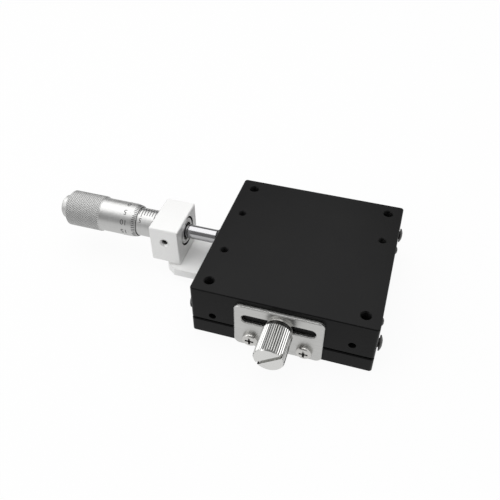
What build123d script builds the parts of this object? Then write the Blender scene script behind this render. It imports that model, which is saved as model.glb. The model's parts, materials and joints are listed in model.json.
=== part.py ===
"""Crossed-roller linear stage, 60 mm square, driven at its centre by a 13 mm micrometer head.

Millimetres. The origin is the middle of the base's underside, +X runs along the travel away from
the micrometer head, -Y is the side that carries the lock screw, and +Z is up. The table stands in
the middle of its travel.
"""

import os
from math import cos, pi, sin, sqrt

from build123d import *

# Stage
STAGE_LENGTH = 60.0
STAGE_WIDTH = 60.0
STAGE_HEIGHT = 20.0
TRAVEL = 6.5  # each way from the middle
BASE_THICKNESS = 6.0
SPLIT_GAP = 0.5  # between the base and the table's side walls
TABLE_SIDE_CLEARANCE = 0.1  # the table is this much narrower than the base on each side
TABLE_ROOF = 4.5  # thickness of the table over its middle pocket
END_WALL = 4.0
CORNER_RADIUS = 1.0
EDGE_CHAMFER = 0.3

# Fits, measured on the radius or on one side
FIXED_FIT = 0.02
RUNNING_FIT = 0.05
FREE_GAP = 0.4
OVERLAP = 0.1  # how far two joined shapes of one piece run into each other

# Crossed-roller guide
CHANNEL_HALF_WIDTH = 7.2  # from the middle to the ribs beside the inner rails
ROLLER_DIAMETER = 3.0
ROLLER_LENGTH = 2.8
ROLLER_PITCH = 4.0
ROLLER_COUNT = 11
CAGE_THICKNESS = 0.4
CAGE_HEIGHT = 5.0
CAGE_END = 3.0  # cage beyond the last roller's centre
RAIL_GAP = 0.8
RAIL_WIDTH = 5.6
RAIL_HEIGHT = 6.0
RAIL_SEAT = 1.2  # height of the inner rails' seat over the base's top face
RAIL_SHOULDER = 0.8  # width of the rib that locates an inner rail
RAIL_SHOULDER_HEIGHT = 1.8
RAIL_END_INSET = 0.2
RELIEF_WIDTH = 0.5  # slot along the bottom of each groove
RELIEF_DEPTH = 0.3

# Rail screws, M2 cap heads
RAIL_SCREW_RADIUS = 1.0
RAIL_SCREW_HEAD_RADIUS = 1.5
RAIL_SCREW_HEAD_HEIGHT = 2.0
RAIL_SCREW_THREAD = 3.5  # engaged beyond the rail
RAIL_SCREW_INSET = 2.0  # from the rail's back face
RAIL_SCREW_END = 7.3  # from the rail's end to its first screw
RAIL_SCREW_COUNT = 4

# Rail stop screws, which keep the cages in
STOP_SCREW_RADIUS = 0.8
STOP_SCREW_HEAD_RADIUS = 1.5
STOP_SCREW_HEAD_HEIGHT = 1.0
STOP_SCREW_LENGTH = 4.0
STOP_SCREW_INSET = 3.0  # from the rail's grooved face
STOP_RECESS = 0.8  # of the inner rails' ends, which keeps their stop screws inside the table

# Table end screws, M3 button heads that stand off the end faces
END_SCREW_RADIUS = 1.5
END_SCREW_HEAD_RADIUS = 2.5
END_SCREW_HEAD_HEIGHT = 1.1
END_SCREW_STAND_OFF = 0.4
END_SCREW_LENGTH = 4.8
END_SCREW_INSET = 4.0  # from the base's side face

# Tapped holes
M4_TAP_RADIUS = 1.65
M3_TAP_RADIUS = 1.25
HOLE_INSET = 5.0  # of the corner holes from the stage's sides
TABLE_HOLE_DEPTH = 6.5
HOLE_MOUTH = 0.2  # chamfer of the tapped holes' mouths
SMALL_HOLE_Y = 10.0
SMALL_HOLE_DEPTH = 5.0

# Preload screws in the front wall, at two heights
PRELOAD_INSET = 7.3  # from the table's end faces
PRELOAD_LEFT_LIFT = 1.7  # over the rail's underside
PRELOAD_RIGHT_LIFT = 3.5
PRELOAD_LENGTH = 4.0

# Lock plate and its screws
PLATE_THICKNESS = 1.2
PLATE_BOTTOM = 0.3
PLATE_OFFSET = -0.5  # of its middle from the stage's, along the travel
PLATE_BELOW_TOP = 1.8  # from the table's top face to the plate's top edge
PLATE_CORNER = 2.0
PLATE_SIDE = 2.5  # beyond each end of the slot
SLOT_SPARE = 4.0  # slot left beyond the shank at each end of the travel
SLOT_CLEARANCE = 0.15  # each side of the lock screw's shank
PLATE_SCREW_SPACING = 17.8
PLATE_SCREW_Z = 4.2
PLATE_SCREW_RADIUS = 1.25
PLATE_SCREW_HEAD_RADIUS = 2.6
PLATE_SCREW_HEAD_HEIGHT = 1.6
PLATE_SCREW_LENGTH = 7.0

# Lock screw, M3 with a straight-knurled head
LOCK_BELOW_TOP = 7.3  # axis under the table's top face
LOCK_SHANK_RADIUS = 1.5
LOCK_TIP_WALL = 3.0  # wall left between the shank's tip and the rail
LOCK_WASHER_RADIUS = 4.3
LOCK_WASHER_THICKNESS = 0.8
LOCK_NECK_RADIUS = 3.4
LOCK_NECK_LENGTH = 1.5
LOCK_HEAD_RADIUS = 4.9
LOCK_HEAD_LENGTH = 10.8
LOCK_HEAD_CHAMFER = 0.5
KNURL_TEETH = 40
KNURL_DEPTH = 0.35
LOCK_SLOT_WIDTH = 1.1
LOCK_SLOT_DEPTH = 1.4
LOCK_SLOT_ANGLE = 37.0  # degrees from level, as it stands

# Micrometer head
MIC_BELOW_TOP = 4.5  # axis under the table's top face
ANVIL_RADIUS = 2.9
ANVIL_LENGTH = 5.0
ANVIL_PROUD = 1.0
PIN_CHAMFER = 0.3  # of the anvil and the spindle's tip
SPINDLE_RADIUS = 2.5
SPINDLE_SPARE = 5.1  # spindle left between table and block at the end of the travel
STEM_RADIUS = 4.75
STEM_EDGE = 0.3  # chamfer of its front end
STEM_RECESS_RADIUS = 3.3  # of the recess round the spindle in its front end
STEM_RECESS_DEPTH = 1.5
NUT_RADIUS = 4.2  # of the stem inside the sleeve
SLEEVE_RADIUS = 5.1
SLEEVE_SPARE = 0.7  # sleeve left in view at the end of the travel
SLEEVE_OVERLAP = 1.9  # sleeve still covered at the other end
THIMBLE_CLEARANCE = 0.2
THIMBLE_MOUTH_RADIUS = 5.6
THIMBLE_RADIUS = 6.05
THIMBLE_CONE = 2.2
THIMBLE_PLAIN = 14.0  # mouth to knurl
GRIP_RADIUS = 6.5
GRIP_LENGTH = 13.6
GRIP_CHAMFER = 0.5
CAP_RADIUS = 4.2
CAP_LENGTH = 3.0
CAP_EDGE = 0.7
CAP_NECK_RADIUS = 1.5
CAP_NECK_LENGTH = 5.0

# Block that holds the micrometer head
BLOCK_LENGTH = 10.7
BLOCK_WIDTH = 17.2
BLOCK_ABOVE_AXIS = 5.9
BLOCK_STEP = 1.0  # the outer part of its underside is higher by this much
BLOCK_FOOT = 4.6
BLOCK_CHAMFER = 0.3
RING_GROOVE_WIDTH = 0.6  # between the stem and the wider mouth of the bore
RING_GROOVE_DEPTH = 1.0
CLAMP_SCREW_RADIUS = 1.25
CLAMP_MOUTH = 0.5  # chamfer of the clamp screw's hole
CLAMP_SCREW_LENGTH = 2.6

# Bracket that joins the block to the base
BRACKET_THICKNESS = 3.0
BRACKET_WIDTH = 21.6
BRACKET_CORNER_X = 3.0
BRACKET_CORNER_Y = 2.1
TONGUE_LENGTH = 12.0
BRACKET_SCREW_RADIUS = 1.25
BRACKET_SCREW_HEAD_RADIUS = 2.4
BRACKET_SCREW_SPACING = 8.0
BRACKET_SCREW_TIP = 0.5  # left under the tongue's screws
BLOCK_SCREW_LENGTH = 6.5

# Return springs
SPRING_Y = 4.0
SPRING_RADIUS = 1.8
SPRING_WIRE = 0.6
SPRING_COILS = 18
POST_RADIUS = 1.0
POST_HEAD_RADIUS = 1.3
POST_GROOVE = 1.2
POST_INSET = 4.0  # from the bracket's tongue, and from the table's end wall
POST_SEAT = 2.5
SPRING_ABOVE_BASE = 4.0

# Places worked out from the sizes above
HALF_LENGTH = STAGE_LENGTH / 2
HALF_WIDTH = STAGE_WIDTH / 2
TABLE_HALF_WIDTH = HALF_WIDTH - TABLE_SIDE_CLEARANCE
TABLE_BOTTOM = BASE_THICKNESS + SPLIT_GAP
INNER_FACE_Y = CHANNEL_HALF_WIDTH + RAIL_SHOULDER
GUIDE_Y = INNER_FACE_Y + RAIL_WIDTH + RAIL_GAP / 2
WALL_Y = GUIDE_Y + RAIL_GAP / 2 + RAIL_WIDTH
RAIL_BOTTOM = BASE_THICKNESS + RAIL_SEAT
RAIL_TOP = RAIL_BOTTOM + RAIL_HEIGHT
GUIDE_Z = (RAIL_BOTTOM + RAIL_TOP) / 2
RAIL_HALF_LENGTH = HALF_LENGTH - RAIL_END_INSET
TONGUE_Y = CHANNEL_HALF_WIDTH - FREE_GAP
MIC_Z = STAGE_HEIGHT - MIC_BELOW_TOP
ANVIL_FACE_X = -HALF_LENGTH - ANVIL_PROUD
BLOCK_FACE_X = ANVIL_FACE_X - TRAVEL - SPINDLE_SPARE
BLOCK_BACK_X = BLOCK_FACE_X - BLOCK_LENGTH
FOOT_X = BLOCK_FACE_X - BLOCK_FOOT
MOUTH_X = BLOCK_BACK_X - SLEEVE_SPARE - TRAVEL
SLEEVE_END_X = MOUTH_X - TRAVEL - SLEEVE_OVERLAP
GRIP_X = MOUTH_X - THIMBLE_PLAIN
THIMBLE_END_X = GRIP_X - GRIP_LENGTH
CAVITY_X = SLEEVE_END_X - TRAVEL - FREE_GAP
PLATE_FACE_Y = -HALF_WIDTH - PLATE_THICKNESS
WASHER_Y = PLATE_FACE_Y - RUNNING_FIT
LOCK_Y = WASHER_Y - LOCK_WASHER_THICKNESS
LOCK_Z = STAGE_HEIGHT - LOCK_BELOW_TOP
PLATE_TOP = STAGE_HEIGHT - PLATE_BELOW_TOP
SLOT_LENGTH = 2 * (TRAVEL + LOCK_SHANK_RADIUS + SLOT_SPARE)
PLATE_LENGTH = SLOT_LENGTH + 2 * PLATE_SIDE
SPRING_Z = BASE_THICKNESS + SPRING_ABOVE_BASE
BASE_POST_X = -HALF_LENGTH + TONGUE_LENGTH + POST_INSET
TABLE_POST_X = HALF_LENGTH - END_WALL - POST_INSET
TABLE_ROOF_Z = STAGE_HEIGHT - TABLE_ROOF


def slab(x, y, z):
    """A box between pairs of limits."""
    size = (x[1] - x[0], y[1] - y[0], z[1] - z[0])
    return Pos(sum(x) / 2, sum(y) / 2, sum(z) / 2) * Box(*size)


def rod_x(x0, x1, y, z, radius):
    return Pos((x0 + x1) / 2, y, z) * Rot(0, 90, 0) * Cylinder(radius, abs(x1 - x0))


def rod_y(x, y0, y1, z, radius):
    return Pos(x, (y0 + y1) / 2, z) * Rot(90, 0, 0) * Cylinder(radius, abs(y1 - y0))


def rod_z(x, y, z0, z1, radius):
    return Pos(x, y, (z0 + z1) / 2) * Cylinder(radius, abs(z1 - z0))


def turned(outline):
    """A solid of revolution about Z from (radius, height) points."""
    section = make_face(Polyline(*[(r, 0, h) for r, h in outline], close=True))
    return revolve(section, Axis.Z)


def tapped_hole(radius, depth, mouth=HOLE_MOUTH):
    """What a tapped hole takes away, its mouth at the origin and its bottom below it."""
    wide = radius + mouth
    return turned(
        [(0, OVERLAP), (wide, OVERLAP), (wide, 0), (radius, -mouth), (radius, -depth), (0, -depth)]
    )


def turned_x(outline):
    """A solid of revolution about the micrometer's axis from (x, radius) points."""
    section = make_face(Polyline(*[(x, 0, r) for x, r in outline], close=True))
    return Pos(0, 0, MIC_Z) * revolve(section, Axis.X)


def mirrored(shape):
    """A shape and its mirror image on the other side of the travel's plane."""
    return [shape, mirror(shape, Plane.XZ)]


def both_ends(shape):
    """A shape and its mirror image at the other end of the stage."""
    return [shape, mirror(shape, Plane.YZ)]


def hexagon_socket(radius, depth):
    return Pos(0, 0, -depth) * extrude(RegularPolygon(radius, 6), depth)


def cap_screw(radius, head_radius, head_height, length):
    """A socket-head screw along Z, its head's seat at the origin."""
    body = Pos(0, 0, head_height / 2) * Cylinder(head_radius, head_height)
    body += Pos(0, 0, -length / 2) * Cylinder(radius, length)
    return body - Pos(0, 0, head_height) * hexagon_socket(head_radius * 0.55, head_height * 0.55)


def button_screw(radius, head_radius, head_height, length):
    """A domed socket screw along Z, its head's seat at the origin."""
    rise = head_height * 0.65
    dome_radius = (head_radius**2 + rise**2) / (2 * rise)
    body = Pos(0, 0, head_height / 2) * Cylinder(head_radius, head_height)
    body &= Pos(0, 0, head_height - dome_radius) * Sphere(dome_radius)
    body += Pos(0, 0, -length / 2) * Cylinder(radius, length)
    return body - Pos(0, 0, head_height) * hexagon_socket(head_radius * 0.4, head_height * 0.6)


def flat_screw(radius, head_radius, length):
    """A countersunk screw along Z, the top of its head at the origin."""
    cone = head_radius - radius
    body = turned([(0, 0), (head_radius, 0), (radius, -cone), (radius, -length), (0, -length)])
    return body - hexagon_socket(radius * 0.7, cone * 0.8)


def pan_screw(radius, head_radius, head_height, length):
    """A cross-recessed pan-head screw along Z, its head's seat at the origin."""
    edge = head_height * 0.45
    body = Pos(0, 0, head_height / 2) * Cylinder(head_radius, head_height)
    rims = body.edges().group_by(Axis.Z)[-1]
    body = fillet(rims, head_height - edge)
    body += Pos(0, 0, -length / 2) * Cylinder(radius, length)
    arm = Box(head_radius * 1.1, head_radius * 0.28, head_height * 0.6)
    recess = arm + Rot(0, 0, 90) * arm
    return body - Pos(0, 0, head_height - head_height * 0.3) * recess


def rounded_block(length, width, z0, z1):
    """A stage-sized block with rounded corners and broken top and bottom edges."""
    body = extrude(RectangleRounded(length, width, CORNER_RADIUS), z1 - z0)
    body = chamfer(body.edges().filter_by(Plane.XY), EDGE_CHAMFER)
    return Pos(0, 0, z0) * body


def base_plate():
    body = rounded_block(STAGE_LENGTH, STAGE_WIDTH, 0, BASE_THICKNESS)
    sink = OVERLAP + EDGE_CHAMFER
    for side in (-1, 1):
        seat_y = sorted((side * CHANNEL_HALF_WIDTH, side * (GUIDE_Y - RAIL_GAP / 2)))
        rib_y = sorted((side * CHANNEL_HALF_WIDTH, side * (INNER_FACE_Y - FIXED_FIT)))
        length = (-RAIL_HALF_LENGTH, RAIL_HALF_LENGTH)
        body += slab(length, seat_y, (BASE_THICKNESS - sink, RAIL_BOTTOM))
        body += slab(length, rib_y, (BASE_THICKNESS - sink, RAIL_BOTTOM + RAIL_SHOULDER_HEIGHT))
        for x in rail_screw_places():
            y = side * (INNER_FACE_Y + RAIL_SCREW_INSET)
            tip = RAIL_BOTTOM - RAIL_SCREW_THREAD - FREE_GAP
            body -= rod_z(x, y, tip, RAIL_BOTTOM, RAIL_SCREW_RADIUS + FIXED_FIT)
        body -= rod_z(
            BASE_POST_X,
            side * SPRING_Y,
            BASE_THICKNESS - POST_SEAT,
            BASE_THICKNESS,
            POST_RADIUS + FIXED_FIT,
        )
        for end in (-1, 1):
            x = end * (HALF_LENGTH - HOLE_INSET)
            y = side * (HALF_WIDTH - HOLE_INSET)
            through = Pos(x, y, 0) * Rot(180, 0, 0) * tapped_hole(M4_TAP_RADIUS, BASE_THICKNESS)
            body -= through
        plate_screw_x = PLATE_OFFSET + side * PLATE_SCREW_SPACING / 2
        body -= rod_y(
            plate_screw_x,
            -HALF_WIDTH,
            -HALF_WIDTH + PLATE_SCREW_LENGTH,
            PLATE_SCREW_Z,
            PLATE_SCREW_RADIUS + FIXED_FIT,
        )
        bracket_screw_y = side * BRACKET_SCREW_SPACING / 2
        body -= rod_z(
            bracket_screw_x(),
            bracket_screw_y,
            BRACKET_SCREW_TIP,
            BASE_THICKNESS,
            BRACKET_SCREW_RADIUS + FIXED_FIT,
        )
    pocket_x = (-HALF_LENGTH - 1, -HALF_LENGTH + TONGUE_LENGTH + FIXED_FIT)
    pocket_y = (-TONGUE_Y - FIXED_FIT, TONGUE_Y + FIXED_FIT)
    body -= slab(pocket_x, pocket_y, (BASE_THICKNESS - BRACKET_THICKNESS, BASE_THICKNESS + 1))
    return body


def rail_screw_places():
    first = -RAIL_HALF_LENGTH + RAIL_SCREW_END
    pitch = -2 * first / (RAIL_SCREW_COUNT - 1)
    return [first + i * pitch for i in range(RAIL_SCREW_COUNT)]


def bracket_screw_x():
    return -HALF_LENGTH + TONGUE_LENGTH / 2


def table_top():
    body = rounded_block(STAGE_LENGTH, 2 * TABLE_HALF_WIDTH, TABLE_BOTTOM, STAGE_HEIGHT)
    past = (-HALF_LENGTH - 1, HALF_LENGTH + 1)
    inner_y = GUIDE_Y + RAIL_GAP / 2 - FREE_GAP / 2
    wall_y = WALL_Y + FIXED_FIT
    body -= slab(past, (-wall_y, wall_y), (TABLE_BOTTOM - 1, RAIL_TOP))
    body -= slab(past, (-inner_y, inner_y), (TABLE_BOTTOM, RAIL_TOP + FREE_GAP))
    pocket_x = HALF_LENGTH - END_WALL
    body -= slab((-pocket_x, pocket_x), (-CHANNEL_HALF_WIDTH, CHANNEL_HALF_WIDTH), (RAIL_TOP, TABLE_ROOF_Z))
    for end in (-1, 1):
        wall_x = sorted((end * pocket_x, end * HALF_LENGTH))
        bottom = BASE_THICKNESS + RAIL_SEAT + RAIL_SHOULDER_HEIGHT / 2
        body += slab(wall_x, (-TONGUE_Y, TONGUE_Y), (bottom, RAIL_TOP + FREE_GAP + OVERLAP))
    body -= rod_x(
        -HALF_LENGTH, ANVIL_FACE_X + ANVIL_LENGTH, 0, MIC_Z, ANVIL_RADIUS + FIXED_FIT
    )
    for side in (-1, 1):
        for x in rail_screw_places():
            y = side * (WALL_Y - RAIL_SCREW_INSET)
            tip = RAIL_TOP + RAIL_SCREW_THREAD + FREE_GAP
            body -= rod_z(x, y, RAIL_TOP, tip, RAIL_SCREW_RADIUS + FIXED_FIT)
        post_tip = TABLE_ROOF_Z + POST_SEAT
        body -= rod_z(
            TABLE_POST_X, side * SPRING_Y, TABLE_ROOF_Z, post_tip, POST_RADIUS + FIXED_FIT
        )
        for end in (-1, 1):
            x = end * (HALF_LENGTH - HOLE_INSET)
            y = side * (HALF_WIDTH - HOLE_INSET)
            body -= Pos(x, y, STAGE_HEIGHT) * tapped_hole(M4_TAP_RADIUS, TABLE_HOLE_DEPTH)
            screw_y = side * (HALF_WIDTH - END_SCREW_INSET)
            tip_x = end * (HALF_LENGTH - END_SCREW_LENGTH)
            body -= rod_x(
                end * HALF_LENGTH, tip_x, screw_y, GUIDE_Z, END_SCREW_RADIUS + FIXED_FIT
            )
    for x, y in small_hole_places():
        body -= Pos(x, y, STAGE_HEIGHT) * tapped_hole(M3_TAP_RADIUS, SMALL_HOLE_DEPTH)
    for x, z in preload_places():
        body -= rod_y(x, -TABLE_HALF_WIDTH, -WALL_Y, z, M3_TAP_RADIUS)
    lock_tip = LOCK_Y + lock_shank_length() + FREE_GAP
    body -= rod_y(0, -TABLE_HALF_WIDTH, lock_tip, LOCK_Z, LOCK_SHANK_RADIUS + RUNNING_FIT)
    return body


def small_hole_places():
    x = HALF_LENGTH - HOLE_INSET
    return [(-x, SMALL_HOLE_Y), (-x, -SMALL_HOLE_Y), (x, SMALL_HOLE_Y)]


def preload_places():
    x = HALF_LENGTH - PRELOAD_INSET
    return [(-x, RAIL_BOTTOM + PRELOAD_LEFT_LIFT), (x, RAIL_BOTTOM + PRELOAD_RIGHT_LIFT)]


def lock_shank_length():
    return -WALL_Y - LOCK_TIP_WALL - LOCK_Y


def groove():
    """The square channel between a pair of rails, on its corner, with the relief slots."""
    side = ROLLER_DIAMETER + 2 * FIXED_FIT
    length = STAGE_LENGTH + 2
    channel = Rot(45, 0, 0) * Box(length, side, side)
    relief = Box(length, side * sqrt(2) + 2 * RELIEF_DEPTH, RELIEF_WIDTH)
    return Pos(0, GUIDE_Y, GUIDE_Z) * (channel + relief)


def outer_rail():
    y = (GUIDE_Y + RAIL_GAP / 2, WALL_Y)
    body = slab((-RAIL_HALF_LENGTH, RAIL_HALF_LENGTH), y, (RAIL_BOTTOM, RAIL_TOP)) - groove()
    screw_y = WALL_Y - RAIL_SCREW_INSET
    for x in rail_screw_places():
        seat = RAIL_BOTTOM + RAIL_SCREW_HEAD_HEIGHT + FREE_GAP / 2
        body -= rod_z(x, screw_y, RAIL_BOTTOM, RAIL_TOP, RAIL_SCREW_RADIUS + RUNNING_FIT)
        body -= rod_z(x, screw_y, RAIL_BOTTOM, seat, RAIL_SCREW_HEAD_RADIUS + RUNNING_FIT)
    return drilled_for_stops(body, RAIL_HALF_LENGTH, GUIDE_Y + RAIL_GAP / 2 + STOP_SCREW_INSET)


def inner_rail():
    y = (INNER_FACE_Y, GUIDE_Y - RAIL_GAP / 2)
    half = RAIL_HALF_LENGTH - STOP_RECESS
    body = slab((-half, half), y, (RAIL_BOTTOM, RAIL_TOP)) - groove()
    screw_y = INNER_FACE_Y + RAIL_SCREW_INSET
    for x in rail_screw_places():
        seat = RAIL_TOP - RAIL_SCREW_HEAD_HEIGHT - FREE_GAP / 2
        body -= rod_z(x, screw_y, RAIL_BOTTOM, RAIL_TOP, RAIL_SCREW_RADIUS + RUNNING_FIT)
        body -= rod_z(x, screw_y, seat, RAIL_TOP, RAIL_SCREW_HEAD_RADIUS + RUNNING_FIT)
    return drilled_for_stops(body, half, GUIDE_Y - RAIL_GAP / 2 - STOP_SCREW_INSET)


def drilled_for_stops(rail, half_length, y):
    depth = half_length - STOP_SCREW_LENGTH
    for end in (-1, 1):
        rail -= rod_x(end * depth, end * half_length, y, GUIDE_Z, STOP_SCREW_RADIUS + FIXED_FIT)
    return rail


def outer_rail_screws():
    seat = RAIL_BOTTOM + RAIL_SCREW_HEAD_HEIGHT + FREE_GAP / 2
    length = RAIL_TOP + RAIL_SCREW_THREAD - seat
    screw = Rot(180, 0, 0) * rail_screw(length)
    return [Pos(x, WALL_Y - RAIL_SCREW_INSET, seat) * screw for x in rail_screw_places()]


def inner_rail_screws():
    seat = RAIL_TOP - RAIL_SCREW_HEAD_HEIGHT - FREE_GAP / 2
    screw = rail_screw(seat - RAIL_BOTTOM + RAIL_SCREW_THREAD)
    return [Pos(x, INNER_FACE_Y + RAIL_SCREW_INSET, seat) * screw for x in rail_screw_places()]


def rail_screw(length):
    return cap_screw(RAIL_SCREW_RADIUS, RAIL_SCREW_HEAD_RADIUS, RAIL_SCREW_HEAD_HEIGHT, length)


def stop_screws(half_length, y):
    """The two screws at the ends of a rail, their heads across the end of its groove."""
    screw = button_screw(
        STOP_SCREW_RADIUS, STOP_SCREW_HEAD_RADIUS, STOP_SCREW_HEAD_HEIGHT, STOP_SCREW_LENGTH
    )
    return both_ends(Pos(half_length, y, GUIDE_Z) * Rot(0, 90, 0) * screw)


def end_screws():
    length = END_SCREW_STAND_OFF + END_SCREW_LENGTH - FREE_GAP
    screw = button_screw(END_SCREW_RADIUS, END_SCREW_HEAD_RADIUS, END_SCREW_HEAD_HEIGHT, length)
    placed = Pos(HALF_LENGTH + END_SCREW_STAND_OFF, HALF_WIDTH - END_SCREW_INSET, GUIDE_Z)
    one = placed * Rot(0, 90, 0) * screw
    return [end for side in mirrored(one) for end in both_ends(side)]


def roller(index):
    """One roller at the guide, tilted against its neighbours."""
    x = (index - (ROLLER_COUNT - 1) / 2) * ROLLER_PITCH
    tilt = 45 if index % 2 else -45
    return Pos(x, GUIDE_Y, GUIDE_Z) * Rot(tilt, 0, 0)


def rollers():
    edge = 0.15
    one = Cylinder(ROLLER_DIAMETER / 2, ROLLER_LENGTH)
    one = chamfer(one.edges().filter_by(GeomType.CIRCLE), edge)
    return [roller(i) * one for i in range(ROLLER_COUNT)]


def cage():
    length = (ROLLER_COUNT - 1) * ROLLER_PITCH + 2 * CAGE_END
    strip = Pos(0, GUIDE_Y, GUIDE_Z) * Box(length, CAGE_THICKNESS, CAGE_HEIGHT)
    window = Cylinder(ROLLER_DIAMETER / 2 + RUNNING_FIT, ROLLER_LENGTH + 2 * RUNNING_FIT)
    for i in range(ROLLER_COUNT):
        strip -= roller(i) * window
    return strip


def preload_screws():
    plain = Cylinder(M3_TAP_RADIUS - FIXED_FIT, PRELOAD_LENGTH)
    socket = hexagon_socket(M3_TAP_RADIUS * 0.6, PRELOAD_LENGTH / 3)
    screw = plain - Pos(0, 0, PRELOAD_LENGTH / 2) * socket
    y = -WALL_Y - PRELOAD_LENGTH / 2
    return [Pos(x, y, z) * Rot(90, 0, 0) * screw for x, z in preload_places()]


def lock_plate():
    height = PLATE_TOP - PLATE_BOTTOM
    outline = RectangleRounded(PLATE_LENGTH, height, PLATE_CORNER)
    slot_z = LOCK_Z - (PLATE_TOP + PLATE_BOTTOM) / 2
    slot = Pos(0, slot_z) * SlotOverall(SLOT_LENGTH, 2 * (LOCK_SHANK_RADIUS + SLOT_CLEARANCE))
    body = extrude(outline - slot, PLATE_THICKNESS)
    body = chamfer(body.edges().group_by(Axis.Z)[-1], EDGE_CHAMFER)
    body = Pos(PLATE_OFFSET, -HALF_WIDTH, (PLATE_TOP + PLATE_BOTTOM) / 2) * Rot(90, 0, 0) * body
    for side in (-1, 1):
        x = PLATE_OFFSET + side * PLATE_SCREW_SPACING / 2
        hole = PLATE_SCREW_RADIUS + RUNNING_FIT
        body -= rod_y(x, -HALF_WIDTH, PLATE_FACE_Y, PLATE_SCREW_Z, hole)
    return body


def lock_plate_screws():
    length = PLATE_THICKNESS + PLATE_SCREW_LENGTH - FREE_GAP
    screw = pan_screw(
        PLATE_SCREW_RADIUS, PLATE_SCREW_HEAD_RADIUS, PLATE_SCREW_HEAD_HEIGHT, length
    )
    places = [PLATE_OFFSET + side * PLATE_SCREW_SPACING / 2 for side in (-1, 1)]
    return [Pos(x, PLATE_FACE_Y, PLATE_SCREW_Z) * Rot(90, 0, 0) * screw for x in places]


def lock_washer():
    ring = Cylinder(LOCK_WASHER_RADIUS, LOCK_WASHER_THICKNESS)
    ring -= Cylinder(LOCK_SHANK_RADIUS + RUNNING_FIT, LOCK_WASHER_THICKNESS)
    return Pos(0, WASHER_Y - LOCK_WASHER_THICKNESS / 2, LOCK_Z) * Rot(90, 0, 0) * ring


def knurled_head():
    """The lock screw's grip, with a tooth pattern of straight flutes, standing on Z = 0."""
    points = []
    for i in range(2 * KNURL_TEETH):
        radius = LOCK_HEAD_RADIUS - KNURL_DEPTH * (i % 2)
        angle = pi * i / KNURL_TEETH
        points.append((radius * cos(angle), radius * sin(angle)))
    teeth = extrude(make_face(Polyline(*points, close=True)), LOCK_HEAD_LENGTH)
    inside = LOCK_HEAD_RADIUS - LOCK_HEAD_CHAMFER
    envelope = turned(
        [
            (0, 0),
            (inside, 0),
            (LOCK_HEAD_RADIUS, LOCK_HEAD_CHAMFER),
            (LOCK_HEAD_RADIUS, LOCK_HEAD_LENGTH - LOCK_HEAD_CHAMFER),
            (inside, LOCK_HEAD_LENGTH),
            (0, LOCK_HEAD_LENGTH),
        ]
    )
    return teeth & envelope


def lock_screw():
    neck = Pos(0, 0, LOCK_NECK_LENGTH / 2) * Cylinder(LOCK_NECK_RADIUS, LOCK_NECK_LENGTH)
    shank_length = lock_shank_length()
    shank = Pos(0, 0, -shank_length / 2) * Cylinder(LOCK_SHANK_RADIUS, shank_length)
    body = shank + neck + Pos(0, 0, LOCK_NECK_LENGTH) * knurled_head()
    face = LOCK_NECK_LENGTH + LOCK_HEAD_LENGTH
    slot = Box(3 * LOCK_HEAD_RADIUS, LOCK_SLOT_WIDTH, 2 * LOCK_SLOT_DEPTH)
    body -= Pos(0, 0, face) * Rot(0, 0, LOCK_SLOT_ANGLE) * slot
    return Pos(0, LOCK_Y, LOCK_Z) * Rot(90, 0, 0) * body


def anvil():
    pin = Cylinder(ANVIL_RADIUS, ANVIL_LENGTH)
    pin = chamfer(pin.edges().filter_by(GeomType.CIRCLE), PIN_CHAMFER)
    return Pos(ANVIL_FACE_X + ANVIL_LENGTH / 2, 0, MIC_Z) * Rot(0, 90, 0) * pin


def micrometer_spindle():
    tip = ANVIL_FACE_X - FIXED_FIT
    neck_x = CAVITY_X - (CAVITY_X - THIMBLE_END_X) / 2
    neck_r = SPINDLE_RADIUS * 0.8
    screw_r = CAP_NECK_RADIUS + FIXED_FIT
    screw_x = THIMBLE_END_X + CAP_NECK_LENGTH + FREE_GAP / 2
    outline = [
        (tip, 0),
        (tip, SPINDLE_RADIUS - PIN_CHAMFER),
        (tip - PIN_CHAMFER, SPINDLE_RADIUS),
        (neck_x, SPINDLE_RADIUS),
        (neck_x, neck_r),
        (THIMBLE_END_X + FIXED_FIT, neck_r),
        (THIMBLE_END_X + FIXED_FIT, screw_r),
        (screw_x, screw_r),
        (screw_x, 0),
    ]
    return turned_x(outline)


def micrometer_thimble():
    bore = SLEEVE_RADIUS + THIMBLE_CLEARANCE
    neck_x = CAVITY_X - (CAVITY_X - THIMBLE_END_X) / 2
    hole = SPINDLE_RADIUS + FIXED_FIT
    small_hole = SPINDLE_RADIUS * 0.8 + FIXED_FIT
    outline = [
        (MOUTH_X, bore),
        (MOUTH_X, THIMBLE_MOUTH_RADIUS),
        (MOUTH_X - THIMBLE_CONE, THIMBLE_RADIUS),
        (GRIP_X, THIMBLE_RADIUS),
        (GRIP_X - GRIP_CHAMFER, GRIP_RADIUS),
        (THIMBLE_END_X + GRIP_CHAMFER, GRIP_RADIUS),
        (THIMBLE_END_X, GRIP_RADIUS - GRIP_CHAMFER),
        (THIMBLE_END_X, small_hole),
        (neck_x, small_hole),
        (neck_x, hole),
        (CAVITY_X, hole),
        (CAVITY_X, bore),
    ]
    return turned_x(outline)


def thimble_cap():
    end = THIMBLE_END_X - CAP_LENGTH
    outline = [
        (THIMBLE_END_X + CAP_NECK_LENGTH, 0),
        (THIMBLE_END_X + CAP_NECK_LENGTH, CAP_NECK_RADIUS),
        (THIMBLE_END_X - FIXED_FIT, CAP_NECK_RADIUS),
        (THIMBLE_END_X - FIXED_FIT, CAP_RADIUS),
        (end + CAP_EDGE, CAP_RADIUS),
        (end, CAP_RADIUS - CAP_EDGE),
        (end, 0),
    ]
    return turned_x(outline)


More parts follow.
